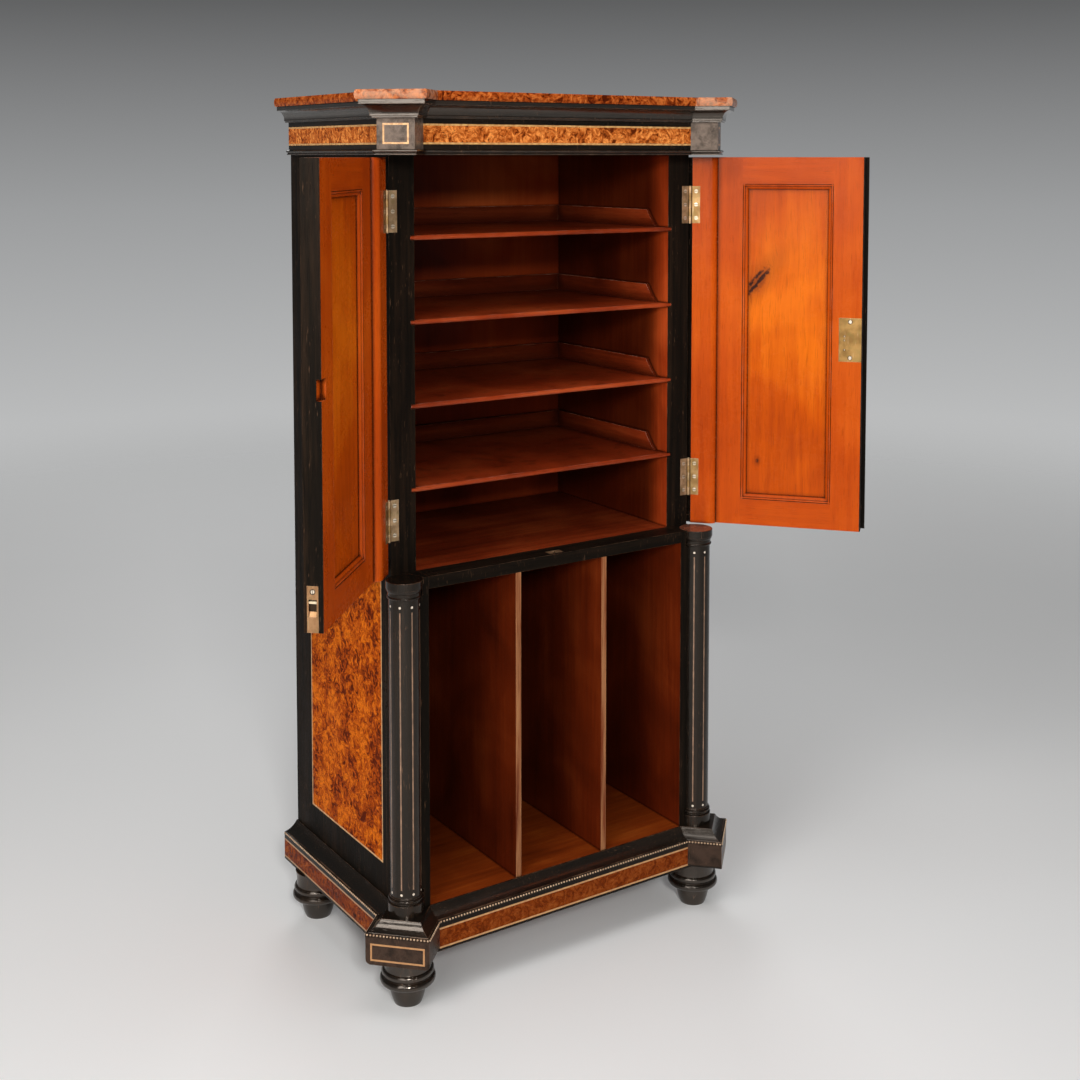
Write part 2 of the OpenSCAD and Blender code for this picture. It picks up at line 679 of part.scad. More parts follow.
// A turned foot: a neck, two rings and a tapering cup
module foot(x, y) color(ebony) place() translate([x, y, 0]) rotate_extrude() {
    k = foot_r;
    u = foot_h / 80;
    polygon(concat([[0, 0], [k - 21.5 * u, 0]],
        sag_arc([k - 21.5 * u, 0], [k - 15 * u, 30 * u], 1.6 * u),
        [[k - 13 * u, 31 * u], [k - 13 * u, 32.5 * u], [k - 3 * u, 33 * u]],
        sag_arc([k - 3 * u, 33 * u], [k - 2.5 * u, 43.5 * u], 2.7 * u),
        [[k - 4.5 * u, 44.5 * u], [k - 4 * u, 46.5 * u]],
        sag_arc([k - 4 * u, 46.5 * u], [k - 4.5 * u, 55 * u], 1.6 * u, 6),
        [[k - 6.5 * u, 56 * u]],
        sag_arc([k - 6.5 * u, 56 * u], [k - 5 * u, foot_h], -u, 6),
        [[spigot_r, foot_h], [spigot_r, foot_h + spigot_h], [0, foot_h + spigot_h]]));
}

module front_left_foot() foot(-column_x, -column_y);
module front_right_foot() foot(column_x, -column_y);
module rear_left_foot() foot(-column_x, -back_foot_y);
module rear_right_foot() foot(column_x, -back_foot_y);

knuckle_count = 5;
knuckle_gap = 0.3;
knuckle_l = hinge_l / knuckle_count;
leaf_in = half_w - leaf_w;

module hinge_heights() for (z = [z_door + hinge_inset, z_door_top - hinge_inset])
    translate([0, 0, z - hinge_l / 2]) children();

// The part of a leaf that lies in the wood, with its face at y0 and its back at y0 + t
module leaf_plate(y0 = -upper_d, t = leaf_t)
    box(leaf_in, half_w, min(y0, y0 + t), max(y0, y0 + t), 0, hinge_l);

module screw_places() for (k = [0.14, 0.5, 0.86])
    translate([leaf_in + leaf_w / 2, 0, hinge_l * k]) children();

// One leaf of a butt hinge, with every second knuckle from first
module hinge_leaf(y0, t, first) difference() {
    union() {
        leaf_plate(y0, t);
        for (k = [first:2:knuckle_count - 1]) {
            z = k * knuckle_l + knuckle_gap / 2;
            translate([hinge_x, hinge_y, z]) cylinder(r = barrel_r, h = knuckle_l - knuckle_gap);
            box(half_w - 1, hinge_x, min(y0, y0 + t), max(y0, y0 + t), z, z + knuckle_l - knuckle_gap);
        }
    }
    translate([hinge_x, hinge_y, -1]) cylinder(r = pin_r + pin_gap, h = hinge_l + 2);
    screw_places() translate([0, y0, 0]) rotate([t > 0 ? -90 : 90, 0, 0]) screw_sink();
}

screw_head_h = 1.2;
screw_l = 6.4;
module screw_sink() {
    translate([0, 0, -touch])
        cylinder(r1 = screw_r + touch, r2 = screw_r - screw_head_h, h = screw_head_h + touch);
    cylinder(r = screw_r - screw_head_h, h = leaf_t + 1);
}

// A wood screw with a countersunk head and a driver slot, pointing along +Z
module wood_screw() difference() {
    union() {
        cylinder(r1 = screw_r, r2 = screw_r - screw_head_h, h = screw_head_h);
        cylinder(r = screw_r - screw_head_h, h = screw_l);
    }
    box(-far / 2, far / 2, -0.35, 0.35, -1, 0.5);
}

// What marks the head of a screw that is one with its plate: a fine ring and the driver slot
module screw_mark() {
    difference() {
        translate([0, 0, -touch]) cylinder(r = screw_r + touch, h = 2 * touch);
        translate([0, 0, -1]) cylinder(r = screw_r, h = 2);
    }
    box(-screw_r, screw_r, -0.35, 0.35, -1, 0.5);
}
module screw_shank() translate([0, 0, screw_head_h / 2])
    cylinder(r = screw_r - screw_head_h, h = screw_l - screw_head_h / 2);

module carcass_hinge_leaves() color(brass) place() both_sides()
    hinge_heights() hinge_leaf(-upper_d, leaf_t, 0);

module hinge_pins() color(brass) place() both_sides() hinge_heights() translate([hinge_x, hinge_y, 0]) {
    cylinder(r = pin_r, h = hinge_l);
    translate([0, 0, hinge_l]) cylinder(r = barrel_r - 0.6, h = 0.8);
    translate([0, 0, -0.8]) cylinder(r = barrel_r - 0.6, h = 0.8);
}

module carcass_screws() hinge_heights() screw_places()
    translate([0, -upper_d, 0]) rotate([-90, 0, 0]) wood_screw();
module carcass_hinge_screws() color(brass) place() both_sides() carcass_screws();

// The doors are drawn shut on the right-hand side, then swung about their pins
module swing(angle) translate([hinge_x, hinge_y, 0]) rotate(angle)
    translate([-hinge_x, -hinge_y, 0]) children();
module right_door() place() swing(right_open) children();
module left_door() place() mirror([1, 0, 0]) swing(left_open) children();

module door_post() difference() {
    translate([0, 0, z_door]) linear_extrude(z_door_top - z_door)
        polygon(concat([[door_out, door_face_y], [door_post_out, door_face_y], [door_post_out, post_back_y],
            [door_out + door_step, post_back_y]],
            sag_arc([door_out + door_step, post_back_y], [door_out, door_back_y],
                door_step * (1 - sqrt(0.5)))));
    column_seat(z_door, z_door_top, cap_band_h + cap_neck_h, cap_r);
    hinge_heights() leaf_plate(post_back_y, -leaf_t);
    door_screws();
}
module door_screws() hinge_heights() screw_places()
    translate([0, post_back_y, 0]) rotate([90, 0, 0]) wood_screw();

module upper_column() column(z_door, z_door_top, upper_foot, dot_in);

lock_y = door_back_y - 4;
lock_h = 22;
lock_bolt_t = 4;
lock_mid = z_door + lock_z;
strike_l = 20;
strike_h = 29;
strike_d = 7;

module panel_opening(grow = 0)
    box(panel_in - grow, panel_out + grow, -far, far, panel_z - grow, panel_top + grow);

// The moulding round the sunk panel: a ring whose inner side is cut by two crossed hollow sections
module panel_moulding() difference() {
    box(panel_in, panel_out, door_back_y - panel_sink, door_back_y, panel_z, panel_top);
    intersection() {
        translate([0, 0, panel_z - 1]) linear_extrude(panel_top - panel_z + 2)
            polygon(mould_gap(panel_in, panel_out));
        translate([panel_in - 1, 0, 0]) rotate([90, 0, 90]) linear_extrude(panel_out - panel_in + 2)
            polygon([for (p = mould_gap(panel_z, panel_top)) [p[1], p[0]]]);
    }
}
// The gap between two facing mouldings, as [across, y] points, from a to b: a step, a bead, a quirk, an ovolo
function mould_gap(a, b) = let (m = panel_mould_w, y0 = door_back_y, y1 = door_back_y - panel_sink)
    concat([[a + m, y1 - 1], [a + m, y1 + 1.2]],
        sag_arc([a + m, y1 + 1.2], [a + 4.2, y0 - 2.6], 1.1, 6),
        [[a + 3.8, y0 - 1.6]],
        sag_arc([a + 3.8, y0 - 1.6], [a + 1, y0 - 1], 1.2, 6),
        [[a + 0.3, y0 - 1], [a + 0.3, y0 + 1], [b - 0.3, y0 + 1], [b - 0.3, y0 - 1], [b - 1, y0 - 1]],
        sag_arc([b - 1, y0 - 1], [b - 3.8, y0 - 1.6], 1.2, 6),
        [[b - 4.2, y0 - 2.6]],
        sag_arc([b - 4.2, y0 - 2.6], [b - m, y1 + 1.2], 1.1, 6), [[b - m, y1 - 1]]);

module door_frame_members() {
    box(panel_out, door_out, door_frame_y, door_back_y, z_door, z_door_top);
    box(door_in + facing_t, panel_in, door_frame_y, door_back_y, z_door, z_door_top);
    box(panel_in, panel_out, door_frame_y, door_back_y, z_door, panel_z);
    box(panel_in, panel_out, door_frame_y, door_back_y, panel_top, z_door_top);
}

module door_panel() box(panel_in, panel_out, door_frame_y, door_back_y - panel_sink, panel_z, panel_top);

module door_string() difference() {
    box(panel_in, panel_out, door_face_y, door_frame_y, panel_z, panel_top);
    panel_opening(-string_w);
}
module door_veneer() intersection() {
    box(panel_in, panel_out, door_face_y, door_frame_y, panel_z, panel_top);
    panel_opening(-string_w);
}
module door_facing() {
    difference() {
        box(door_in, door_out, door_face_y, door_frame_y, z_door, z_door_top);
        panel_opening();
    }
    box(door_in, door_in + facing_t, door_frame_y, door_back_y, z_door, z_door_top);
}
module door_inlay() {
    door_string();
    column_strings(z_door + cap_band_h + cap_neck_h, z_door_top - cap_band_h - cap_neck_h, dot_in);
}

lock_body_w = 34;
lock_body_h = 56;
lock_body_t = 10;
plate_t = 1.5;
key_r = 3;
key_x = door_in + facing_t + 22;

module lock_plate() box(door_in + facing_t, door_in + facing_t + lock_plate_w,
    door_back_y - plate_t, door_back_y, lock_mid - lock_plate_h / 2, lock_mid + lock_plate_h / 2);
module lock_body() box(door_in + facing_t, door_in + facing_t + lock_body_w,
    door_back_y - plate_t - lock_body_t, door_back_y - plate_t,
    lock_mid - lock_body_h / 2, lock_mid + lock_body_h / 2);
module lock_bolt_path(grow) box(door_in - 1, door_in + facing_t + 24 + grow,
    lock_y - lock_bolt_t / 2 - grow, lock_y + lock_bolt_t / 2 + grow,
    lock_mid - lock_h / 2 - grow, lock_mid + lock_h / 2 + grow);
module key_way(r) translate([key_x, 0, lock_mid - 8]) {
    rotate([90, 0, 0]) cylinder(r = r, h = far);
    box(-r * 0.55, r * 0.55, -far, 0, -r * 2.4, 0);
}
module lock_screw_places() for (s = [-1, 1])
    translate([door_in + facing_t + lock_plate_w * 0.5, door_back_y, lock_mid + s * (lock_plate_h / 2 - 6.5)])
        rotate([90, 0, 0]) children();

// Rivets that hold the lock's works to its plate
rivet_r = 1.2;
module lock_rivets() for (k = [0.42, 0.51, 0.73])
    translate([door_in + facing_t + lock_plate_w * 0.75, door_back_y - 1, lock_mid + lock_plate_h * (0.5 - k)])
        rotate([-90, 0, 0]) cylinder(r1 = rivet_r, r2 = rivet_r - 0.3, h = 1.4);

module lock_case() color(brass) right_door() {
    difference() {
        union() {
            lock_plate();
            lock_body();
            lock_screw_places() screw_shank();
            lock_rivets();
        }
        lock_bolt_path(touch);
        intersection() { key_way(key_r - 0.5); box(0, far, -far, door_back_y - plate_t, 0, far); }
        lock_screw_places() screw_mark();
    }
    difference() {
        intersection() {
            key_way(key_r + 1.5);
            box(0, far, door_face_y - 0.6, door_face_y + facing_t, 0, far);
        }
        key_way(key_r);
    }
}

module lock_bolt() color(brass) right_door() difference() {
    box(door_in + 0.5, door_in + facing_t + 24 - touch, lock_y - lock_bolt_t / 2, lock_y + lock_bolt_t / 2,
        lock_mid - lock_h / 2, lock_mid + lock_h / 2);
    intersection() { key_way(key_r + 6); box(0, far, lock_y - 1, far, 0, far); }
}

flush_recess = 9.2;
slot_l = 23.5;
slot_w = 11.2;
grip_h = 3.2;
grip_in = 2.4;
ramp_h = 7;
ramp_d = 3;
bolt_w = 6.5;
bolt_t = 5;
flush_top = z_door + flush_plate_h;
slot_top = flush_top - 18.6;
slot_low = slot_top - slot_l;

module flush_plate() box(door_in, door_in + 2, flush_y - flush_plate_w / 2, flush_y + flush_plate_w / 2,
    z_door, flush_top);
module flush_channel() box(door_in + 2, door_in + flush_recess,
    flush_y - slot_w / 2 - 0.4, flush_y + slot_w / 2 + 0.4, z_door - 1, slot_top + 3);
module flush_screw() translate([door_in, flush_y, flush_top - 8]) rotate([0, 90, 0]) children();

// The slope at the slot's lower end, where a thumb gets at the slide
module thumb_slope() translate([0, flush_y + slot_w / 2 - touch, 0]) rotate([90, 0, 0])
    linear_extrude(slot_w - 2 * touch) polygon([[door_in + 0.2, slot_low - 1], [door_in + 0.2, slot_low],
        [door_in + ramp_d, slot_low + ramp_h], [door_in + ramp_d, slot_low - 1]]);

module flush_bolt_plate() color(brass) left_door() {
    difference() {
        union() {
            flush_plate();
            flush_screw() screw_shank();
        }
        box(door_in - 1, door_in + 3, flush_y - slot_w / 2, flush_y + slot_w / 2, slot_low, slot_top);
        flush_screw() screw_mark();
    }
    thumb_slope();
}

// The bolt with its broad head behind the slot, and the grip that shows in the slot
module flush_bolt_slide() color(brass) left_door() union() {
    x = door_in + ramp_d + 0.6;
    box(x, x + bolt_t, flush_y - bolt_w / 2, flush_y + bolt_w / 2, z_door + 0.5, slot_top - 2);
    box(x, x + bolt_t / 2, flush_y - slot_w / 2 + touch, flush_y + slot_w / 2 - touch,
        slot_low + 2, slot_top - grip_in);
    box(door_in + 0.3, x + 0.1, flush_y - slot_w / 2 + touch, flush_y + slot_w / 2 - touch,
        slot_top - grip_in - grip_h, slot_top - grip_in);
}

module left_door_post() color(mahogany) left_door() door_post();
module left_upper_column() color(ebony) left_door() upper_column();
module left_door_frame() color(mahogany) left_door() difference() {
    union() { door_frame_members(); panel_moulding(); }
    strike_mortise();
    flush_channel();
    flush_plate();
    flush_screw() cylinder(r = screw_r - screw_head_h, h = screw_l);
}
module strike_mortise() box(door_in - 1, door_in + strike_l, door_back_y - strike_d, door_back_y + 1,
    lock_mid - strike_h / 2, lock_mid + strike_h / 2);
module left_door_panel() color(mahogany) left_door() door_panel();
module left_door_veneer() color(burr) left_door() door_veneer();
module left_door_facing() color(ebony) left_door() difference() {
    door_facing();
    strike_mortise();
    flush_plate();
}
module left_door_stringing() color(boxwood) left_door() door_inlay();
module left_hinge_leaves() color(brass) left_door() hinge_heights() hinge_leaf(post_back_y, -leaf_t, 1);
module left_hinge_screws() color(brass) left_door() door_screws();

module right_door_post() color(mahogany) right_door() door_post();
module right_upper_column() color(ebony) right_door() upper_column();
module right_door_frame() color(mahogany) right_door() difference() {
    union() { door_frame_members(); panel_moulding(); }
    lock_plate();
    lock_body();
    key_way(key_r + 1.5);
    lock_screw_places() cylinder(r = screw_r - screw_head_h, h = screw_l);
}
module right_door_panel() color(mahogany) right_door() door_panel();
module right_door_veneer() color(burr) right_door() door_veneer();
module right_door_facing() color(ebony) right_door() {
    difference() {
        door_facing();
        lock_bolt_path(touch);
        key_way(key_r + 1.5);
    }
    cover_bead();
}
module cover_bead() difference() {
    translate([0, 0, z_door]) linear_extrude(z_door_top - z_door) polygon(concat(
        [[door_in + cover_bead_w / 2, door_face_y + facing_t / 2],
            [door_in - cover_bead_w / 2, door_face_y + facing_t / 2],
            [door_in - cover_bead_w / 2, door_face_y]],
        sag_arc([door_in - cover_bead_w / 2, door_face_y], [door_in + cover_bead_w / 2, door_face_y],
            cover_bead_t, 10)));
    box(-far, door_in, door_face_y - 2 * touch, door_face_y + facing_t, 0, far);
}
module right_door_stringing() color(boxwood) right_door() door_inlay();
module right_hinge_leaves() color(brass) right_door() hinge_heights() hinge_leaf(post_back_y, -leaf_t, 1);
module right_hinge_screws() color(brass) right_door() door_screws();

// A tray: a thin board with a rounded front edge, and a low gallery on its back and sides
module tray(i) color(mahogany) place() translate([0, 0, tray_z(i)]) {
    x = open_half + groove_d - tray_gap;
    g = open_half - 1;
    y1 = -back_in - 2;
    translate([-x, 0, 0]) rotate([90, 0, 90]) linear_extrude(2 * x)
        polygon(concat([[y1, 0], [2 - upper_d, 0]], sag_arc([2 - upper_d, 0], [2 - upper_d, tray_t], -2, 6),
            [[y1, tray_t]]));
    box(-g, g, y1 - gallery_t, y1, tray_t, tray_t + gallery_h);
    both_sides() translate([g - gallery_t, 0, 0]) rotate([90, 0, 90]) linear_extrude(gallery_t)
        polygon(concat([[y1 - gallery_t, tray_t], [y1 - gallery_t, tray_t + gallery_h],
            [-upper_d + gallery_front_in + gallery_scoop, tray_t + gallery_h]],
            sag_arc([-upper_d + gallery_front_in + gallery_scoop, tray_t + gallery_h],
                [-upper_d + gallery_front_in, tray_t + 1.5], -1.5),
            [[-upper_d + gallery_front_in, tray_t]]));
}

module tray_1() tray(1);
module tray_2() tray(2);
module tray_3() tray(3);
module tray_4() tray(4);

top_board();
cornice_moulding();
frieze_frame();
frieze_bead();
inner_top_board();
side_frames();
side_panels();
wall_linings();
left_front_post();
right_front_post();
back_frame();
back_boards();
shelf_board();
mid_rail();
base_board();
dividers();
left_lower_column();
right_lower_column();
plinth_frame();
plinth_moulding();
burr_banding();
boxwood_stringing();
pearl_beading();
rear_foot_blocks();
front_left_foot();
front_right_foot();
rear_left_foot();
rear_right_foot();
carcass_hinge_leaves();
hinge_pins();
carcass_hinge_screws();
bolt_keep();
left_door_post();
left_upper_column();
left_door_frame();
left_door_panel();
left_door_veneer();
left_door_facing();
left_door_stringing();
left_hinge_leaves();
left_hinge_screws();
flush_bolt_plate();
flush_bolt_slide();
right_door_post();
right_upper_column();
right_door_frame();
right_door_panel();
right_door_veneer();
right_door_facing();
right_door_stringing();
right_hinge_leaves();
right_hinge_screws();
lock_case();
lock_bolt();
tray_1();
tray_2();
tray_3();
tray_4();
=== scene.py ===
"""Dresses the folio cabinet in ebonised wood, burr veneer, boxwood, mahogany and aged brass, in studio light."""

from __future__ import annotations

import logging
import math
from dataclasses import dataclass
from enum import Enum
from typing import Any, Sequence

import bmesh
import bpy
from mathutils import Matrix, Vector

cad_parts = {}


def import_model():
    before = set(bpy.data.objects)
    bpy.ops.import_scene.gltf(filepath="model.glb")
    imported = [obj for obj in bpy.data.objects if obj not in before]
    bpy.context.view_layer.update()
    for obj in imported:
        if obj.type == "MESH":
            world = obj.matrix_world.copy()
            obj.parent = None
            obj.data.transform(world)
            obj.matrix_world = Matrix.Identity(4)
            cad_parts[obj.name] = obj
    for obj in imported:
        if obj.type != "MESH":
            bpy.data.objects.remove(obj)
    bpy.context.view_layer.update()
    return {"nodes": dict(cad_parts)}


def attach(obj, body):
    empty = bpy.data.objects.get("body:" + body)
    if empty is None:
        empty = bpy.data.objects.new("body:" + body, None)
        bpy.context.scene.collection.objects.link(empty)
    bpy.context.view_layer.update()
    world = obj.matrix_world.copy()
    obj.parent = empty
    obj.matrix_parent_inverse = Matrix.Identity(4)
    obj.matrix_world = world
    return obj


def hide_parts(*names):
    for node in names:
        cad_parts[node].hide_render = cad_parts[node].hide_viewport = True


LOG = logging.getLogger("folio_cabinet")
Colour = tuple[float, float, float]
Point = tuple[float, float, float]
Node = bpy.types.Node
Socket = bpy.types.NodeSocket

# Levels and depths of the cabinet that its finishes follow, in metres
UPPER_FRONT = -0.0677
LOWER_FRONT = -0.1072
SHELF_LEVEL = 0.65
TOP_FOOT = 1.374
FRIEZE_FOOT = 1.28
PLINTH_HEAD = 0.13
PLINTH_LINES_HEAD = 0.128
BLOCK_INNER = 0.245

# Colours that lie over a finish in few places
BLACK_PORE = (0.004, 0.003, 0.003)
OUTER_STAIN = (0.0090, 0.0062, 0.0045)
KNOT_HEART = (0.030, 0.0060, 0.0035)
OLIVE = (0.22, 0.165, 0.050)
TARNISH = (0.14, 0.085, 0.040)
UNTOUCHED = (0.045, 0.026, 0.014)
# painted shade in corners, with some soiling
SHADE_SOILING = (0.022, 0.014, 0.009)
HEAD_RING = (0.050, 0.030, 0.016)
HEAD = (0.78, 0.66, 0.52)

# Numbers of the Mix node's sockets, for colours and for vectors
MIX_SHARE = 0
COLOUR_UNDER, COLOUR_OVER, COLOUR_MIXED = 6, 7, 2
VECTOR_UNDER, VECTOR_OVER, VECTOR_MIXED = 4, 5, 1


class Side(Enum):
    """The two sides of the cabinet, with the sign of X that each lies on."""

    LEFT = -1
    RIGHT = 1


class Grain(Enum):
    """How much a pattern is drawn out along X, Y and Z, so that its grain runs one way."""

    UPRIGHT = (1.0, 1.0, 0.045)
    ALONG_FRONT = (0.045, 1.0, 1.0)
    ROUND_THE_CASE = (0.045, 0.045, 1.0)


@dataclass(frozen=True)
class Hung:
    """Where a door stands, so that a pattern can be laid out on it as if it were shut, on the right-hand side.

    Attributes:
        side: The side that the door hangs on.
        opened: The angle that it stands open, in degrees.
        pin: X and Y of the right-hand hinge pins.
    """

    side: Side
    opened: float
    pin: tuple[float, float] = (0.2922, -0.06822)

    def shut(self) -> dict[str, Point]:
        """Works out how a point on the open door gets to its place on the shut one.

        Returns:
            The scale, the turn and the move, under the names of the Mapping node's inputs.
        """
        turn = math.radians(self.opened)
        x, y = self.pin
        back = (x * math.cos(turn) + y * math.sin(turn), y * math.cos(turn) - x * math.sin(turn))
        return {"Scale": (float(self.side.value), 1.0, 1.0), "Rotation": (0.0, 0.0, -turn),
                "Location": (x - back[0], y - back[1], 0.0)}


class Wiring:
    """Short ways to add shader nodes to a tree and to join them. Most give the new node's result."""

    def __init__(self, tree: bpy.types.NodeTree) -> None:
        """Empties the tree of a material, a world or a node group, and keeps it."""
        tree.nodes.clear()
        self.tree = tree

    def add(self, kind: str, feeds: dict[Any, Any] | None = None, **settings: Any) -> Node:
        """Adds a node.

        Args:
            kind: The node's type name.
            feeds: What goes into its inputs, by name or number: a socket, a number or a tuple.
            **settings: The node's own properties.

        Returns:
            The new node.
        """
        node = self.tree.nodes.new(kind)
        for name, value in settings.items():
            setattr(node, name, value)
        return self.fill(node, feeds or {})

    def fill(self, node: Node, feeds: dict[Any, Any]) -> Node:
        """Joins sockets to a node's inputs, or sets the inputs' own values.

        Args:
            node: The node.
            feeds: What goes into its inputs, as for a new node.

        Returns:
            The same node.
        """
        for name, value in feeds.items():
            target = node.inputs[name]
            if isinstance(value, bpy.types.NodeSocket):
                self.tree.links.new(value, target)
            elif isinstance(value, tuple) and target.type == "RGBA":
                target.default_value = (*value, 1.0)
            else:
                target.default_value = value
        return node

    def work(self, operation: str, *values: Any, clamp: bool = False) -> Socket:
        """Works out one value from others, which are sockets or numbers in the order of the Math node's inputs."""
        return self.add("ShaderNodeMath", dict(enumerate(values)), operation=operation, use_clamp=clamp).outputs[0]

    def plus(self, first: Any, second: Any) -> Socket:
        """Adds two values."""
        return self.work("ADD", first, second)

    def minus(self, first: Any, second: Any) -> Socket:
        """Takes the second value from the first."""
        return self.work("SUBTRACT", first, second)

    def times(self, first: Any, second: Any) -> Socket:
        """Multiplies two values."""
        return self.work("MULTIPLY", first, second)

    def over(self, value: Any, level: float) -> Socket:
        """Gives 1 where a value is over a level, and else 0."""
        return self.work("GREATER_THAN", value, level)

    def under(self, value: Any, level: float) -> Socket:
        """Gives 1 where a value is under a level, and else 0."""
        return self.work("LESS_THAN", value, level)

    def between(self, value: Any, low: float, high: float) -> Socket:
        """Gives 1 where a value lies between two levels, and else 0."""
        return self.times(self.over(value, low), self.under(value, high))

    def vectors(self, operation: str, *values: Any) -> Socket:
        """Works out a vector from others."""
        return self.add("ShaderNodeVectorMath", dict(enumerate(values)), operation=operation).outputs[0]

    def scaled(self, vector: Socket, by: Any) -> Socket:
        """Multiplies a vector or a colour by a number."""
        return self.add("ShaderNodeVectorMath", {0: vector, "Scale": by}, operation="SCALE").outputs[0]

    def length(self, operation: str, *values: Any) -> Socket:
        """Works out a number from vectors: a length, a distance or a dot product."""
        node = self.add("ShaderNodeVectorMath", dict(enumerate(values)), operation=operation)
        return node.outputs["Value"]

    def axis(self, place: Socket, name: str) -> Socket:
        """Takes X, Y or Z out of a place or a direction."""
        return self.add("ShaderNodeSeparateXYZ", {0: place}).outputs[name]

    def facing(self, name: str) -> Socket:
        """Gives X, Y or Z of the direction that a face looks in."""
        return self.axis(self.add("ShaderNodeNewGeometry").outputs["True Normal"], name)

    def blend(self, share: Any, under: Any, over: Any, way: str = "MIX") -> Socket:
        """Mixes two colours."""
        feeds = {MIX_SHARE: share, COLOUR_UNDER: under, COLOUR_OVER: over}
        return self.add("ShaderNodeMix", feeds, data_type="RGBA", blend_type=way).outputs[COLOUR_MIXED]

    def tint(self, colour: Socket, by: Colour) -> Socket:
        """Multiplies a colour by another."""
        return self.blend(1.0, colour, by, "MULTIPLY")

    def ease(self, value: Any, low: float, high: float, start: float = 0.0, end: float = 1.0) -> Socket:
        """Maps a value smoothly from one range to another."""
        feeds = {"Value": value, "From Min": low, "From Max": high, "To Min": start, "To Max": end}
        return self.add("ShaderNodeMapRange", feeds, interpolation_type="SMOOTHSTEP").outputs[0]

    def noise(self, place: Any, scale: float, detail: float = 3.0, rough: float = 0.55,
              warp: float = 0.0) -> Socket:
        """Adds a noise pattern and gives its value."""
        feeds = {"Vector": place, "Scale": scale, "Detail": detail, "Roughness": rough, "Distortion": warp}
        return self.add("ShaderNodeTexNoise", feeds).outputs[0]

    def ramp(self, value: Any, *stops: tuple[float, Colour]) -> Socket:
        """Turns a value into a colour.

        Args:
            value: The value's socket.
            *stops: Pairs of a place from 0 to 1 and the colour there.

        Returns:
            The colour's socket.
        """
        node = self.add("ShaderNodeValToRGB", {"Fac": value})
        marks = node.color_ramp.elements
        while len(marks) < len(stops):
            marks.new(0.5)
        for mark, (place, colour) in zip(marks, stops):
            mark.position = place
            mark.color = (*colour, 1.0)
        return node.outputs[0]

    def group(self, tree: bpy.types.NodeTree, feeds: dict[str, Any] | None = None) -> dict[str, Socket]:
        """Adds a node group and gives its results by name."""
        node = self.add("ShaderNodeGroup", node_tree=tree)
        return dict(self.fill(node, feeds or {}).outputs.items())

    def place(self, hung: Hung | None = None) -> Socket:
        """Gives the place on the object.

        Args:
            hung: Where the door stands, for a place as if it were shut, or None for a piece that stands still.

        Returns:
            The socket of the place.
        """
        place = self.add("ShaderNodeTexCoord").outputs["Object"]
        if hung is None:
            return place
        return self.add("ShaderNodeMapping", {"Vector": place, **hung.shut()}, vector_type="POINT").outputs[0]

    def drawn_out(self, place: Socket, grain: Grain, shift: Point = (0.0, 0.0, 0.0)) -> Socket:
        """Draws a place out along the grain, so that patterns on it run that way, and shifts it."""
        return self.add("ShaderNodeMapping", {"Vector": place, "Scale": grain.value, "Location": shift}).outputs[0]


class Coat(Wiring):
    """The wiring of a material, with its surface shader and the shared groups."""

    def __init__(self, name: str, effects: Effects | None = None) -> None:
        """Makes the material.

        Args:
            name: The material's name.
            effects: The shared groups, if it uses any.
        """
        self.effects = effects
        self.material = bpy.data.materials.new(name)
        self.material.use_nodes = True
        super().__init__(self.material.node_tree)
        self.shader = self.add("ShaderNodeBsdfPrincipled")
        self.add("ShaderNodeOutputMaterial", {"Surface": self.shader.outputs[0]})


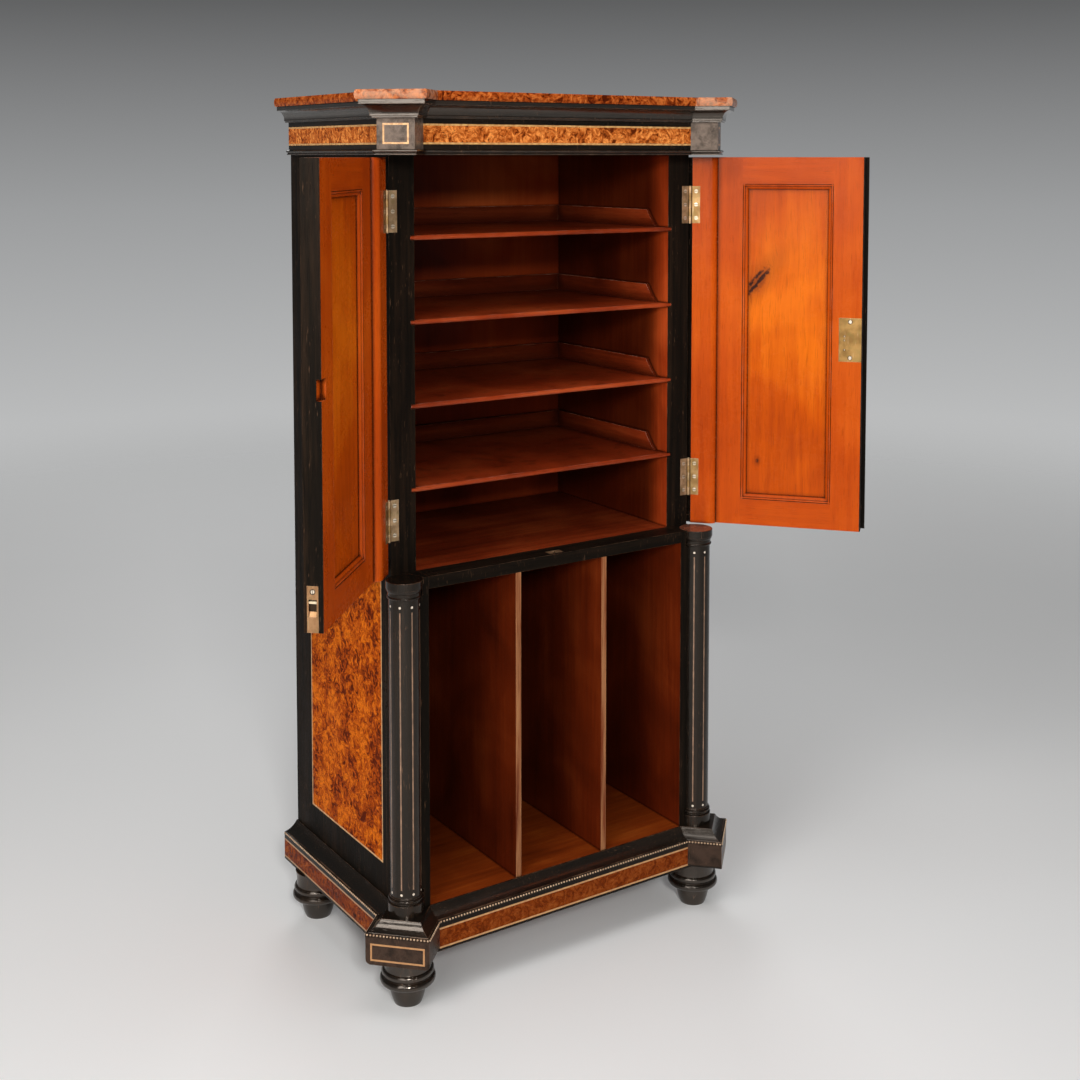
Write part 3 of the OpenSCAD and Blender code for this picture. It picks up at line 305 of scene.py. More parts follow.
class Effects:
    """The shader node groups that several finishes use. Each is made once."""

    def __init__(self) -> None:
        """Builds every group."""
        self.grain = self._grain()
        self.wear = self._wear()
        self.burr = self._burr()
        self.polish = self._polish()

    @staticmethod
    def _open(name: str, inputs: dict[str, float | None], values: Sequence[str],
              vectors: Sequence[str] = ()) -> tuple[Wiring, Node, Node]:
        """Starts a group.

        Args:
            name: The group's name.
            inputs: Its inputs, each with its default, or with None if it is a vector.
            values: Its outputs that are numbers.
            vectors: Its outputs that are vectors.

        Returns:
            The wiring, the input node and the output node.
        """
        tree = bpy.data.node_groups.new(name, "ShaderNodeTree")
        for label, default in inputs.items():
            kind = "NodeSocketVector" if default is None else "NodeSocketFloat"
            socket = tree.interface.new_socket(name=label, in_out="INPUT", socket_type=kind)
            if default is not None:
                socket.default_value = default
        for labels, kind in ((values, "NodeSocketFloat"), (vectors, "NodeSocketVector")):
            for label in labels:
                tree.interface.new_socket(name=label, in_out="OUTPUT", socket_type=kind)
        w = Wiring(tree)
        return w, w.add("NodeGroupInput"), w.add("NodeGroupOutput")

    def _grain(self) -> bpy.types.NodeTree:
        """Makes wood grain: broad figure, fine streaks, open pores and a relief for bump.

        Returns:
            The group.
        """
        w, start, end = self._open("wood grain", {"Place": None}, ("Figure", "Streaks", "Pores", "Relief"))
        place = start.outputs["Place"]
        fibre = w.noise(place, 620.0, 2.0, 0.5)
        pores = w.ease(w.noise(place, 900.0, 1.0, 0.4), 0.6, 0.7)
        w.fill(end, {"Figure": w.noise(place, 14.0, 4.0, 0.6, 0.6), "Pores": pores,
                     "Streaks": w.noise(place, 130.0, 4.0, 0.62, 0.15),
                     "Relief": w.minus(w.times(fibre, 0.5), w.times(pores, 0.6))})
        return w.tree

    def _wear(self) -> bpy.types.NodeTree:
        """Makes rounded edges, the parts of them that are rubbed bare, and the darkening in corners, which is
        painted shade with some soiling.

        Returns:
            The group.
        """
        w, start, end = self._open("rubbed edges", {"Radius": 0.0012, "Spread": 0.12, "Reach": 0.004},
                                   ("Rubbed", "ShadeSoiling"), ("Normal",))
        rounded = w.add("ShaderNodeBevel", {"Radius": start.outputs["Radius"]}, samples=4).outputs[0]
        flat = w.add("ShaderNodeNewGeometry").outputs["True Normal"]
        edge = w.work("SUBTRACT", 1.0, w.length("DOT_PRODUCT", rounded, flat), clamp=True)
        share = w.add("ShaderNodeMapRange", {"Value": edge, "From Min": 0.015, "From Max": start.outputs["Spread"]})
        shade = w.add("ShaderNodeAmbientOcclusion", {"Distance": start.outputs["Reach"]}, samples=6)
        # Ambient occlusion marks corners and crevices for painted shade, with some soiling.
        shade_soiling = w.ease(shade.outputs["AO"], 0.60, 0.98, 1.0, 0.0)
        patches = w.ease(w.noise(w.place(), 34.0, 4.0, 0.65), 0.38, 0.66)
        clean = w.times(w.minus(1.0, shade_soiling), patches)
        w.fill(end, {"Rubbed": w.work("MULTIPLY", share.outputs[0], clean, clamp=True), "ShadeSoiling": shade_soiling,
                     "Normal": rounded})
        return w.tree

    def _burr(self) -> bpy.types.NodeTree:
        """Makes burr veneer: clouds of colour, curling lines and small dark eyes.

        Returns:
            The group.
        """
        w, start, end = self._open("burr figure", {"Place": None}, ("Clouds", "Curls", "Eyes"))
        place = start.outputs["Place"]
        pull = w.add("ShaderNodeTexNoise", {"Vector": place, "Scale": 55.0, "Detail": 3.0}).outputs["Color"]
        bent = w.vectors("ADD", place, w.scaled(w.vectors("SUBTRACT", pull, (0.5, 0.5, 0.5)), 0.016))
        cells = w.add("ShaderNodeTexVoronoi", {"Vector": bent, "Scale": 240.0}, feature="F1").outputs["Distance"]
        chosen = w.ease(w.noise(place, 60.0, 2.0), 0.46, 0.6)
        w.fill(end, {"Clouds": w.noise(bent, 75.0, 5.0, 0.62, 1.6), "Curls": w.noise(bent, 210.0, 4.0, 0.6, 2.4),
                     "Eyes": w.times(w.ease(cells, 0.16, 0.34, 1.0, 0.0), chosen)})
        return w.tree

    def _polish(self) -> bpy.types.NodeTree:
        """Makes a hand polish: broad uneven gloss and a slight waviness.

        Returns:
            The group.
        """
        w, _, end = self._open("hand polish", {}, ("Uneven", "Waves"))
        place = w.place()
        broad = w.noise(place, 11.0, 4.0, 0.6, 0.4)
        fine = w.noise(place, 160.0, 3.0, 0.6)
        w.fill(end, {"Uneven": w.plus(w.times(broad, 0.7), w.times(fine, 0.3)),
                     "Waves": w.noise(place, 26.0, 2.0, 0.5)})
        return w.tree


@dataclass(frozen=True)
class Finish:
    """What every finish has: its name and the gloss of its polish.

    Attributes:
        name: The material's name.
        rough_low: Roughness where the polish is best.
        rough_high: Roughness where it is dullest.
        edge: Radius of the softened edges, in metres.
    """

    name: str
    rough_low: float = 0.25
    rough_high: float = 0.45
    edge: float = 0.0009

    def build(self, effects: Effects) -> bpy.types.Material:
        """Makes the material.

        Args:
            effects: The shared groups.

        Returns:
            The material.
        """
        coat = Coat(self.name, effects)
        self.paint(coat)
        return coat.material

    def paint(self, w: Coat) -> None:
        """Lays the finish's colour, polish and relief on the shader. Each finish has its own way."""
        raise NotImplementedError

    def wear(self, w: Coat, **feeds: float) -> dict[str, Socket]:
        """Adds the worn edges, with the group's other inputs as they are named there, and gives its results."""
        return w.group(w.effects.wear, {"Radius": self.edge, **feeds})

    def gloss(self, w: Coat, relief: Any, depth: float, worn: Any = 0.0, rounded: Socket | None = None) -> None:
        """Joins roughness and bump to the shader.

        Args:
            w: The material's wiring.
            relief: The height of the bump.
            depth: The bump's depth in metres.
            worn: How far the surface is rubbed bare, from 0 to 1.
            rounded: The normal of the rounded edges, if they are rounded.
        """
        polish = w.group(w.effects.polish)
        rough = w.ease(polish["Uneven"], 0.3, 0.7, self.rough_low, self.rough_high)
        smooth = {} if rounded is None else {"Normal": rounded}
        waves = w.add("ShaderNodeBump", {"Height": polish["Waves"], "Distance": 0.0012, "Strength": 0.35, **smooth})
        fine = w.add("ShaderNodeBump", {"Height": relief, "Distance": depth, "Strength": 0.6,
                                        "Normal": waves.outputs[0]})
        w.fill(w.shader, {"Roughness": w.plus(rough, w.times(worn, 0.18)), "Normal": fine.outputs[0]})


@dataclass(frozen=True)
class Ebonised(Finish):
    """Wood stained black and polished: worn to brown along its edges, with fine scratches and dull patches.

    Attributes:
        grain: The way the grain runs.
        black: Colour of the stain.
        brown: Colour where the stain is thin.
        bare: Colour of the wood on rubbed edges.
        thin: How much of the thin, brown stain shows.
        scuffs: How clearly scratches show.
        shine: Specular level of the polish.
        ior: Its index of refraction.
        worn: How much of the rubbed edges shows.
        bared: Heights between which faces that look up have lost their stain.
        unstained: Colour of those faces.
        canted_sheen: Colour of a painted sheen on the faces that look to the front corners, if they get one.
        corner_facing: Bounds of Y of the direction that those faces look in.
    """

    grain: Grain = Grain.UPRIGHT
    black: Colour = (0.0062, 0.0048, 0.0036)
    brown: Colour = (0.0300, 0.0165, 0.0095)
    bare: Colour = (0.200, 0.105, 0.058)
    thin: float = 0.8
    scuffs: float = 0.35
    shine: float = 0.30
    ior: float = 1.32
    worn: float = 0.75
    bared: tuple[float, float] | None = None
    unstained: Colour = (0.235, 0.082, 0.044)
    canted_sheen: Colour | None = None
    corner_facing: tuple[float, float] = (-0.75, -0.66)

    def _scuffs(self, w: Wiring, place: Socket) -> Socket:
        """Draws short fine scratches that lie at two angles, in patches.

        Args:
            w: The material's wiring.
            place: The place on the object.

        Returns:
            The scratches' mask.
        """
        marks = []
        for lean, shift in ((0.35, 0.0), (-0.8, 0.6)):
            turned = w.add("ShaderNodeMapping", {"Vector": place, "Rotation": (lean, lean * 0.7, lean),
                                                 "Scale": (1.0, 1.0, 0.10), "Location": (shift, shift, 0.0)})
            marks.append(w.ease(w.noise(turned.outputs[0], 520.0, 2.0, 0.5), 0.665, 0.72))
        return w.times(w.work("MAXIMUM", *marks), w.ease(w.noise(place, 30.0, 3.0), 0.45, 0.62))

    def paint(self, w: Coat) -> None:
        """Lays the stained wood on the shader.

        Args:
            w: The material's wiring.
        """
        place = w.place()
        grain = w.group(w.effects.grain, {"Place": w.drawn_out(place, self.grain)})
        wear = self.wear(w, Spread=0.10)
        thinned = w.times(w.ease(grain["Streaks"], 0.35, 0.72), w.ease(grain["Figure"], 0.36, 0.70))
        wood = w.blend(w.times(thinned, self.thin), self.black, self.brown)
        wood = w.blend(w.times(grain["Pores"], 0.5), wood, BLACK_PORE)
        # Painted sheen, in mottled patches, on the faces that look to the front corners.
        if self.canted_sheen is not None:
            sheen_mottle = w.ease(w.noise(place, 48.0, 5.0, 0.7, 0.3), 0.30, 0.62, 0.25, 1.0)
            wood = w.blend(w.times(w.between(w.facing("Y"), *self.corner_facing), sheen_mottle), wood, self.canted_sheen)
        if self.bared is not None:
            top = w.times(w.over(w.facing("Z"), 0.9), w.between(w.axis(place, "Z"), *self.bared))
            blotched = w.ease(w.noise(place, 70.0, 4.0, 0.6), 0.30, 0.62, 1.0, 0.55)
            wood = w.blend(w.times(top, blotched), wood, self.unstained)
        scuffed = w.times(self._scuffs(w, place), self.scuffs)
        rubbed = w.times(wear["Rubbed"], self.worn)
        wood = w.blend(rubbed, w.blend(scuffed, wood, self.bare), self.bare)
        w.fill(w.shader, {"Base Color": wood, "IOR": self.ior, "Specular IOR Level": self.shine,
                          "Specular Tint": (1.0, 0.88, 0.77)})
        self.gloss(w, grain["Relief"], 0.00020, w.work("MAXIMUM", rubbed, scuffed), wear["Normal"])


@dataclass(frozen=True)
class Knot:
    """A knot in the wood of a door panel.

    Attributes:
        centre: X and Z of its middle on the shut door.
        long: Half of its length.
        wide: Half of its width.
        lean: Angle of its length from X, in degrees.
        depth: How dark it is, from 0 to 1.
        push: How far it pushes the grain aside, as a share of the distance from its middle.
    """

    centre: tuple[float, float]
    long: float
    wide: float
    lean: float
    depth: float = 0.9
    push: float = 0.7

    def draw(self, w: Wiring, place: Socket) -> tuple[Socket, Socket]:
        """Works out how dark the knot is at a place, and how far it pushes the grain aside.

        Args:
            w: The material's wiring.
            place: The place on the shut door.

        Returns:
            The darkness and the push along X.
        """
        across = w.minus(w.axis(place, "X"), self.centre[0])
        up = w.minus(w.axis(place, "Z"), self.centre[1])
        cos, sin = math.cos(math.radians(self.lean)), math.sin(math.radians(self.lean))
        along = w.plus(w.times(across, cos / self.long), w.times(up, sin / self.long))
        aside = w.minus(w.times(up, cos / self.wide), w.times(across, sin / self.wide))
        ragged = w.times(w.minus(w.noise(place, 260.0, 3.0, 0.6, 0.6), 0.5), 1.5)
        reach = w.work("SQRT", w.plus(w.work("POWER", along, 2.0), w.work("POWER", aside, 2.0)))
        core = w.ease(w.plus(reach, ragged), 0.45, 1.25, self.depth, 0.0)
        waves = w.work("SINE", w.plus(w.times(aside, 7.0), w.times(ragged, 5.0)))
        halo = w.ease(reach, 0.6, 3.4, 0.32, 0.0)
        dark = w.work("ADD", w.times(core, w.ease(waves, -0.8, 0.6, 0.35, 1.0)), halo, clamp=True)
        swell = w.work("DIVIDE", w.times(across, self.push), w.plus(1.0, w.work("POWER", reach, 2.0)))
        return dark, swell


@dataclass(frozen=True)
class PaintedFrontLight:
    """Painted light and shade on the wood between two heights: paler near the front, where light would reach it,
    and darker farther in.

    Attributes:
        front: Y of the piece's front edge.
        reach: How far behind it the paler wood goes.
        outer: What the colour is multiplied by at the front.
        inner: What it is multiplied by farther in.
        low: Height where it starts.
        high: Height where it ends.
    """

    front: float
    reach: float
    outer: float
    inner: float
    low: float = 0.0
    high: float = 2.0

    def strength(self, w: Wiring, place: Socket, before: Any) -> Socket:
        """Works out what the colour is multiplied by.

        Args:
            w: The material's wiring.
            place: The place on the object.
            before: The same value outside of these heights.

        Returns:
            The value at a place.
        """
        here = w.ease(w.axis(place, "Y"), self.front, self.front + self.reach, self.outer, self.inner)
        inside = w.between(w.axis(place, "Z"), self.low, self.high)
        return w.plus(before, w.times(inside, w.minus(here, before)))


@dataclass(frozen=True)
class Mahogany(Finish):
    """Polished mahogany, with its streaks, growth lines and pores.

    Attributes:
        grain: The way the grain runs.
        deep: Colour of the darkest wood.
        mid: Colour of most of the wood.
        light: Colour of the lightest wood.
        bare: Colour of rubbed edges; where it is pale pink, on the doors and trays, it is a painted highlight along
            the edges as well as wear.
        worn: How much of the rubbed edges shows.
        shade_soiling_share: How much of the darkening in corners shows: painted shade, with some soiling.
        shade_soiling_tone: How dark that darkening is against the deepest wood.
        hung: Where the piece stands, if it is on a door.
        rings: How clearly the growth lines show.
        rails: Bounds in X and Z of a door's panel opening: over and under it the grain lies across.
        knots: The knots in the piece.
        front: Colour of the faces that look straight to the front, if they are bare.
        reach: How far from a corner the darkening reaches, painted shade with some soiling and old polish, in
            metres.
        calm: How far the streaks are smoothed out, from 0 to 1.
        painted_light_oval: X and Z of the middle of an oval of painted light on the shut door, and half of its
            width and height.
        painted_shade_outside_oval: What is added to the wood's tone outside of that oval, as painted shade.
        stained: X beyond which, and Y in front of which, the piece is stained black, on the shut door.
        painted_front_lights: Where painted light makes the wood paler towards the front and painted shade makes it
            darker farther in.
        tones: Places of the deep, mid and light colour in the wood's tone.
    """

    grain: Grain = Grain.UPRIGHT
    deep: Colour = (0.058, 0.0068, 0.0019)
    mid: Colour = (0.165, 0.0215, 0.0050)
    light: Colour = (0.330, 0.0600, 0.0140)
    bare: Colour = (0.46, 0.20, 0.085)
    worn: float = 0.35
    shade_soiling_share: float = 0.65
    shade_soiling_tone: float = 0.35
    hung: Hung | None = None
    rings: float = 0.3
    rails: tuple[float, float, float, float] | None = None
    knots: tuple[Knot, ...] = ()
    front: Colour | None = None
    reach: float = 0.004
    calm: float = 0.0
    painted_light_oval: tuple[float, float, float, float] | None = None
    painted_shade_outside_oval: float = -0.03
    stained: tuple[float, float] | None = None
    painted_front_lights: tuple[PaintedFrontLight, ...] = ()
    tones: tuple[float, float, float] = (0.36, 0.53, 0.72)

    def _grain_place(self, w: Wiring, place: Socket) -> Socket:
        """Gives the place along the grain, which lies across on a door's rails.

        Args:
            w: The material's wiring.
            place: The place on the piece.

        Returns:
            The drawn-out place.
        """
        along = w.drawn_out(place, self.grain)
        if self.rails is None:
            return along
        left, right, low, high = self.rails
        height = w.axis(place, "Z")
        beyond = w.work("MAXIMUM", w.under(height, low), w.over(height, high))
        feeds = {MIX_SHARE: w.times(w.between(w.axis(place, "X"), left, right), beyond), VECTOR_UNDER: along,
                 VECTOR_OVER: w.drawn_out(place, Grain.ALONG_FRONT, (0.37, 0.0, 0.11))}
        return w.add("ShaderNodeMix", feeds, data_type="VECTOR").outputs[VECTOR_MIXED]

    def _tone(self, w: Wiring, place: Socket, run: Socket, grain: dict[str, Socket]) -> Socket:
        """Works out how light the wood is.

        Args:
            w: The material's wiring.
            place: The place on the piece.
            run: The same, drawn out along the grain.
            grain: The results of the grain's group.

        Returns:
            The tone's socket.
        """
        lines = w.work("SINE", w.times(w.noise(run, 9.0, 2.0, 0.5, 0.5), 95.0))
        growth = w.times(w.ease(lines, -1.0, 1.0), self.rings)
        tone = w.plus(w.times(grain["Figure"], 0.55), w.times(grain["Streaks"], 0.45))
        tone = w.plus(tone, w.times(growth, 0.12))
        if self.calm > 0.0:
            middle = self.tones[1]
            clouds = w.times(w.minus(w.noise(place, 5.5, 3.0, 0.5, 0.5), 0.5), 0.50)
            spread = w.times(w.minus(tone, middle), 1.0 - self.calm)
            tone = w.plus(middle, w.plus(spread, clouds))
        # An oval of painted light in the wood's tone, with painted shade outside it.
        if self.painted_light_oval is None:
            return tone
        x, z, wide, high = self.painted_light_oval
        shifted = w.vectors("SUBTRACT", place, (x, 0.0, z))
        reach = w.length("LENGTH", w.vectors("MULTIPLY", shifted, (1.0 / wide, 0.0, 1.0 / high)))
        return w.plus(tone, w.ease(reach, 0.0, 1.0, 0.16, self.painted_shade_outside_oval))

    def paint(self, w: Coat) -> None:
        """Lays the mahogany on the shader.

        Args:
            w: The material's wiring.
        """
        place = w.place(self.hung)
        knotted: Any = 0.0
        bent = place
        for knot in self.knots:
            dark, push = knot.draw(w, place)
            bent = w.vectors("SUBTRACT", bent, w.add("ShaderNodeCombineXYZ", {"X": push}).outputs[0])
            knotted = w.work("MAXIMUM", knotted, dark)
        run = self._grain_place(w, bent)
        grain = w.group(w.effects.grain, {"Place": run})
        wear = self.wear(w, Reach=self.reach)
        wood = w.ramp(self._tone(w, place, run, grain), *zip(self.tones, (self.deep, self.mid, self.light)))
        pored = w.times(grain["Pores"], 0.5 * (1.0 - self.calm))
        wood = w.blend(pored, wood, tuple(part * 0.35 for part in self.deep))
        # Painted light and shade: the colour is multiplied up near the front and down farther in.
        strength: Any = 1.0
        for front_light in self.painted_front_lights:
            strength = front_light.strength(w, place, strength)
        wood = w.scaled(wood, strength)
        if self.stained is not None:
            beyond = w.over(w.axis(place, "X"), self.stained[0])
            ahead = w.under(w.axis(place, "Y"), self.stained[1])
            wood = w.blend(w.work("MAXIMUM", beyond, ahead), wood, OUTER_STAIN)
        if self.knots:
            wood = w.blend(knotted, wood, KNOT_HEART)
        if self.front is not None:
            streaked = w.blend(w.ease(grain["Streaks"], 0.35, 0.7), self.front, wood)
            wood = w.blend(w.under(w.facing("Y"), -0.95), wood, streaked)
        # Painted shade, with some soiling, darkens the wood in corners.
        wood = w.blend(w.times(wear["ShadeSoiling"], self.shade_soiling_share), wood, tuple(part * self.shade_soiling_tone for part in self.deep))
        rubbed = w.times(wear["Rubbed"], self.worn)
        w.fill(w.shader, {"Base Color": w.blend(rubbed, wood, self.bare), "IOR": 1.30, "Specular IOR Level": 0.30,
                          "Specular Tint": (1.0, 0.72, 0.56), "Coat Weight": 0.03, "Coat Roughness": 0.14})
        self.gloss(w, grain["Relief"], 0.00018, rubbed, wear["Normal"])


@dataclass(frozen=True)
class Burr(Finish):
    """Burr veneer under a clear polish.

    Attributes:
        dark: Colour of the curls and the darkest clouds.
        mid: Colour of most of the veneer.
        light: Colour of its lightest clouds.
        eye: Colour of the small eyes.
        low_tint: What the side panels' and doors' colour is multiplied by.
        lip_tint: The same for the lipping of the top.
        canted_sheen: Colour of the painted highlight on the lipping's cut corners.
        plinth_tint: The same as the other tints, for the band along the plinth's front.
        plinth_side_tint: The same for the bands along its sides.
        ior: The polish's index of refraction.
        broad: How strongly broad clouds lighten and darken the veneer.
    """

    dark: Colour = (0.110, 0.017, 0.003)
    mid: Colour = (0.50, 0.112, 0.016)
    light: Colour = (0.92, 0.320, 0.070)
    eye: Colour = (0.045, 0.009, 0.004)
    low_tint: Colour = (0.84, 0.56, 0.09)
    lip_tint: Colour = (0.62, 0.46, 0.40)
    canted_sheen: Colour = (0.74, 0.44, 0.28)
    plinth_tint: Colour = (0.36, 0.27, 0.22)
    plinth_side_tint: Colour = (0.36, 0.21, 0.05)
    ior: float = 1.25
    broad: float = 0.15

    def _lipping(self, w: Wiring, place: Socket, veneer: Socket) -> Socket:
        """Colours the lipping of the top, with a painted highlight in pale patches on its cut corners.

        Args:
            w: The material's wiring.
            place: The place on the object.
            veneer: The veneer's colour.

        Returns:
            The lipping's colour.
        """
        ahead = w.facing("Y")
        turn = w.minus(w.work("ABSOLUTE", w.facing("X")), w.work("ABSOLUTE", ahead))
        cut = w.times(w.under(w.work("ABSOLUTE", turn), 0.12), w.under(ahead, -0.25))
        mottled = w.ease(w.noise(place, 62.0, 4.0, 0.65, 0.4), 0.36, 0.60, 0.08, 0.44)
        # The cut corners get a painted highlight in mottled patches.
        return w.blend(w.times(cut, mottled), w.tint(veneer, self.lip_tint), self.canted_sheen)

    def _plinth_band(self, w: Wiring, veneer: Socket) -> Socket:
        """Colours the band round the plinth, which is finer and duller along the front.

        Args:
            w: The material's wiring.
            veneer: The veneer's colour.

        Returns:
            The band's colour.
        """
        ends = w.over(w.work("ABSOLUTE", w.facing("X")), 0.9)
        ahead = w.tint(w.blend(0.42, veneer, self.mid), self.plinth_tint)
        return w.blend(ends, ahead, w.tint(veneer, self.plinth_side_tint))

    def paint(self, w: Coat) -> None:
        """Lays the burr on the shader, toned by the height that each part of it is at.

        Args:
            w: The material's wiring.
        """
        place = w.place()
        figure = w.group(w.effects.burr, {"Place": place})
        wear = self.wear(w)
        swell = w.times(w.minus(w.noise(place, 17.0, 4.0, 0.6, 0.8), 0.5), self.broad)
        clouds = w.ramp(w.plus(figure["Clouds"], swell), (0.36, self.dark), (0.48, self.mid), (0.63, self.light))
        veneer = w.blend(w.times(w.ease(figure["Curls"], 0.52, 0.64), 0.55), clouds, self.dark)
        veneer = w.blend(w.times(figure["Eyes"], 0.8), veneer, self.eye)
        height = w.axis(place, "Z")
        toned = w.blend(w.under(height, FRIEZE_FOOT), veneer, w.tint(veneer, self.low_tint))
        toned = w.blend(w.under(height, PLINTH_HEAD), toned, self._plinth_band(w, veneer))
        toned = w.blend(w.over(height, TOP_FOOT), toned, self._lipping(w, place, veneer))
        w.fill(w.shader, {"Base Color": toned, "IOR": self.ior, "Specular IOR Level": 0.30,
                          "Specular Tint": (1.0, 0.76, 0.60), "Coat Weight": 0.02, "Coat Roughness": 0.12})
        relief = w.plus(figure["Curls"], w.times(figure["Eyes"], -0.4))
        self.gloss(w, relief, 0.00012, w.times(wear["Rubbed"], 0.3), wear["Normal"])


@dataclass(frozen=True)
class Boxwood(Finish):
    """Pale stringing, with dusty lines and cream dots on the columns.

    Attributes:
        pale: Colour of the cleaner wood.
        deep: Colour of its darker patches.
        line: Colour of the lines on the columns.
        dot: Colour of the dots.
        dulled: Colour that the plinth's lines are dulled to.
        dot_heights: Heights of the dots.
        column: Heights between which the columns' lines lie.
        ahead: Y in front of which they lie.
    """

    pale: Colour = (0.72, 0.42, 0.15)
    deep: Colour = (0.46, 0.20, 0.06)
    line: Colour = (0.185, 0.105, 0.062)
    dot: Colour = (0.72, 0.62, 0.50)
    dulled: Colour = (0.40, 0.185, 0.070)
    dot_heights: tuple[float, ...] = ()
    column: tuple[float, float] = (0.0, 0.0)
    ahead: float = 10.0

    def paint(self, w: Coat) -> None:
        """Lays the boxwood on the shader.

        Args:
            w: The material's wiring.
        """
        place = w.place()
        wood = w.blend(w.ease(w.noise(place, 150.0, 4.0, 0.6), 0.34, 0.68), self.pale, self.deep)
        height = w.axis(place, "Z")
        on_column = w.times(w.between(height, *self.column), w.under(w.axis(place, "Y"), self.ahead))
        dusty = w.ease(w.noise(place, 60.0, 3.0), 0.4, 0.65)
        wood = w.blend(on_column, wood, w.blend(dusty, self.line, tuple(part * 1.7 for part in self.line)))
        outer = w.over(w.work("ABSOLUTE", w.axis(place, "X")), BLOCK_INNER)
        share = w.times(w.under(height, PLINTH_LINES_HEAD), w.plus(0.55, w.times(outer, 0.25)))
        wood = w.blend(share, wood, self.dulled)
        for level in self.dot_heights:
            near = w.under(w.work("ABSOLUTE", w.minus(height, level)), 0.004)
            wood = w.blend(w.times(near, on_column), wood, self.dot)
        w.fill(w.shader, {"Base Color": wood, "Coat Weight": 0.3, "Coat Roughness": 0.2})
        self.gloss(w, w.noise(place, 500.0, 2.0), 0.0001)


@dataclass(frozen=True)
class AgedBrass(Finish):
    """Brass dulled by age: soft brown and olive patches, darkening in its corners that is painted shade with some
    soiling, rubbed edges and scratches.

    Attributes:
        metal: Colour of the cleaner brass.
        stain: Colour of the dulled patches.
        bright: Colour of the scratches.
        rim: Colour along the edges.
        hung: Where the piece stands, if it is on a door.
        grip: Heights between which the piece is rubbed bright, if only its grip is.
        heads: Centre and radius of each screw and rivet let into it, laid flat along the axis that is 0 in flat.
        flat: Which axes count for the distance from a screw's centre.
    """

    metal: Colour = (0.46, 0.270, 0.100)
    stain: Colour = (0.27, 0.150, 0.052)
    bright: Colour = (0.90, 0.70, 0.46)
    rim: Colour = (0.92, 0.74, 0.50)
    hung: Hung | None = None
    grip: tuple[float, float] | None = None
    heads: tuple[tuple[Point, float], ...] = ()
    flat: Point = (1.0, 0.0, 1.0)

    def _screwed(self, w: Wiring, place: Socket, metal: Socket) -> Socket:
        """Draws the bright heads of the screws and rivets, each with a dark ring.

        Args:
            w: The material's wiring.
            place: The place on the object.
            metal: The plate's colour.

        Returns:
            The colour of plate and heads.
        """
        level = w.vectors("MULTIPLY", place, self.flat)
        for centre, radius in self.heads:
            gap = w.length("DISTANCE", level, centre)
            metal = w.blend(w.under(gap, radius + 0.0006), metal, HEAD_RING)
            metal = w.blend(w.under(gap, radius * 0.78), metal, HEAD)
        return metal

    def paint(self, w: Coat) -> None:
        """Lays the brass on the shader.

        Args:
            w: The material's wiring.
        """
        place = w.place(self.hung)
        wear = self.wear(w, Spread=0.16, Reach=0.0014)
        blotch = w.ease(w.noise(place, 55.0, 3.0, 0.5, 0.1), 0.36, 0.66)
        metal = w.blend(blotch, self.metal, self.stain)
        olive = w.ease(w.noise(place, 90.0, 2.0, 0.5), 0.5, 0.7)
        metal = w.blend(w.times(olive, 0.35), metal, OLIVE)
        speckle = w.ease(w.noise(place, 420.0, 3.0, 0.6), 0.60, 0.74)
        metal = w.blend(w.times(speckle, 0.5), metal, TARNISH)
        if self.grip is not None:
            metal = w.blend(w.between(w.axis(place, "Z"), *self.grip), UNTOUCHED, self.rim)
        metal = self._screwed(w, place, metal)
        glint = w.ease(w.noise(w.drawn_out(place, Grain.UPRIGHT, (0.2, 0.1, 0.0)), 640.0, 2.0, 0.5), 0.66, 0.74)
        metal = w.blend(w.times(glint, 0.4), metal, self.bright)
        # Painted shade, with some soiling, darkens the brass in corners.
        metal = w.blend(w.times(wear["ShadeSoiling"], 0.94), metal, SHADE_SOILING)
        metal = w.blend(w.times(wear["Rubbed"], 0.95), metal, self.rim)
        w.fill(w.shader, {"Base Color": metal, "Metallic": 0.85})
        self.gloss(w, w.noise(place, 520.0, 3.0), 0.00010, w.times(blotch, 0.5), wear["Normal"])


@dataclass(frozen=True)
class GiltBead(Finish):
    """Worn gilding over wood, on the small beads."""

    gilt: Colour = (0.70, 0.50, 0.33)
    wood: Colour = (0.36, 0.21, 0.12)

    def paint(self, w: Coat) -> None:
        """Lays the gilding on the shader.

        Args:
            w: The material's wiring.
        """
        place = w.place()
        patches = w.ease(w.noise(place, 120.0, 4.0, 0.65), 0.42, 0.66)
        w.fill(w.shader, {"Base Color": w.blend(patches, self.gilt, self.wood),
                          "Metallic": w.minus(0.7, w.times(patches, 0.6))})
        self.gloss(w, w.noise(place, 900.0, 2.0), 0.0001)


def put_on(node: bpy.types.Object, material: bpy.types.Material) -> None:
    """Gives an object one material in all its slots.

    Args:
        node: The object.
        material: Its new material.
    """
    if not node.material_slots:
        node.data.materials.append(material)
    for place in node.material_slots:
        place.material = material


def hinge_screws(name: str) -> AgedBrass:
    """Gives the finish of the hinges' screws, which are brighter than the leaves and dark at their rims."""
    return AgedBrass(name, 0.26, 0.42, 0.0005, metal=(0.86, 0.74, 0.58), stain=(0.60, 0.48, 0.34),
                     rim=(0.060, 0.036, 0.020))


@dataclass
class Assembly:
    """A part of the cabinet whose pieces get their finishes together.

    Attributes:
        nodes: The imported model's objects by name.
        effects: The shared shader groups.
    """

    nodes: dict[str, bpy.types.Object]
    effects: Effects

    def put(self, finish: Finish, *names: str) -> None:
        """Makes a finish and gives it to pieces.

        Args:
            finish: The finish.
            *names: The pieces' names.
        """
        material = finish.build(self.effects)
        for name in names:
            put_on(self.nodes[name], material)
        LOG.info("%s: %s", finish.name, ", ".join(names))


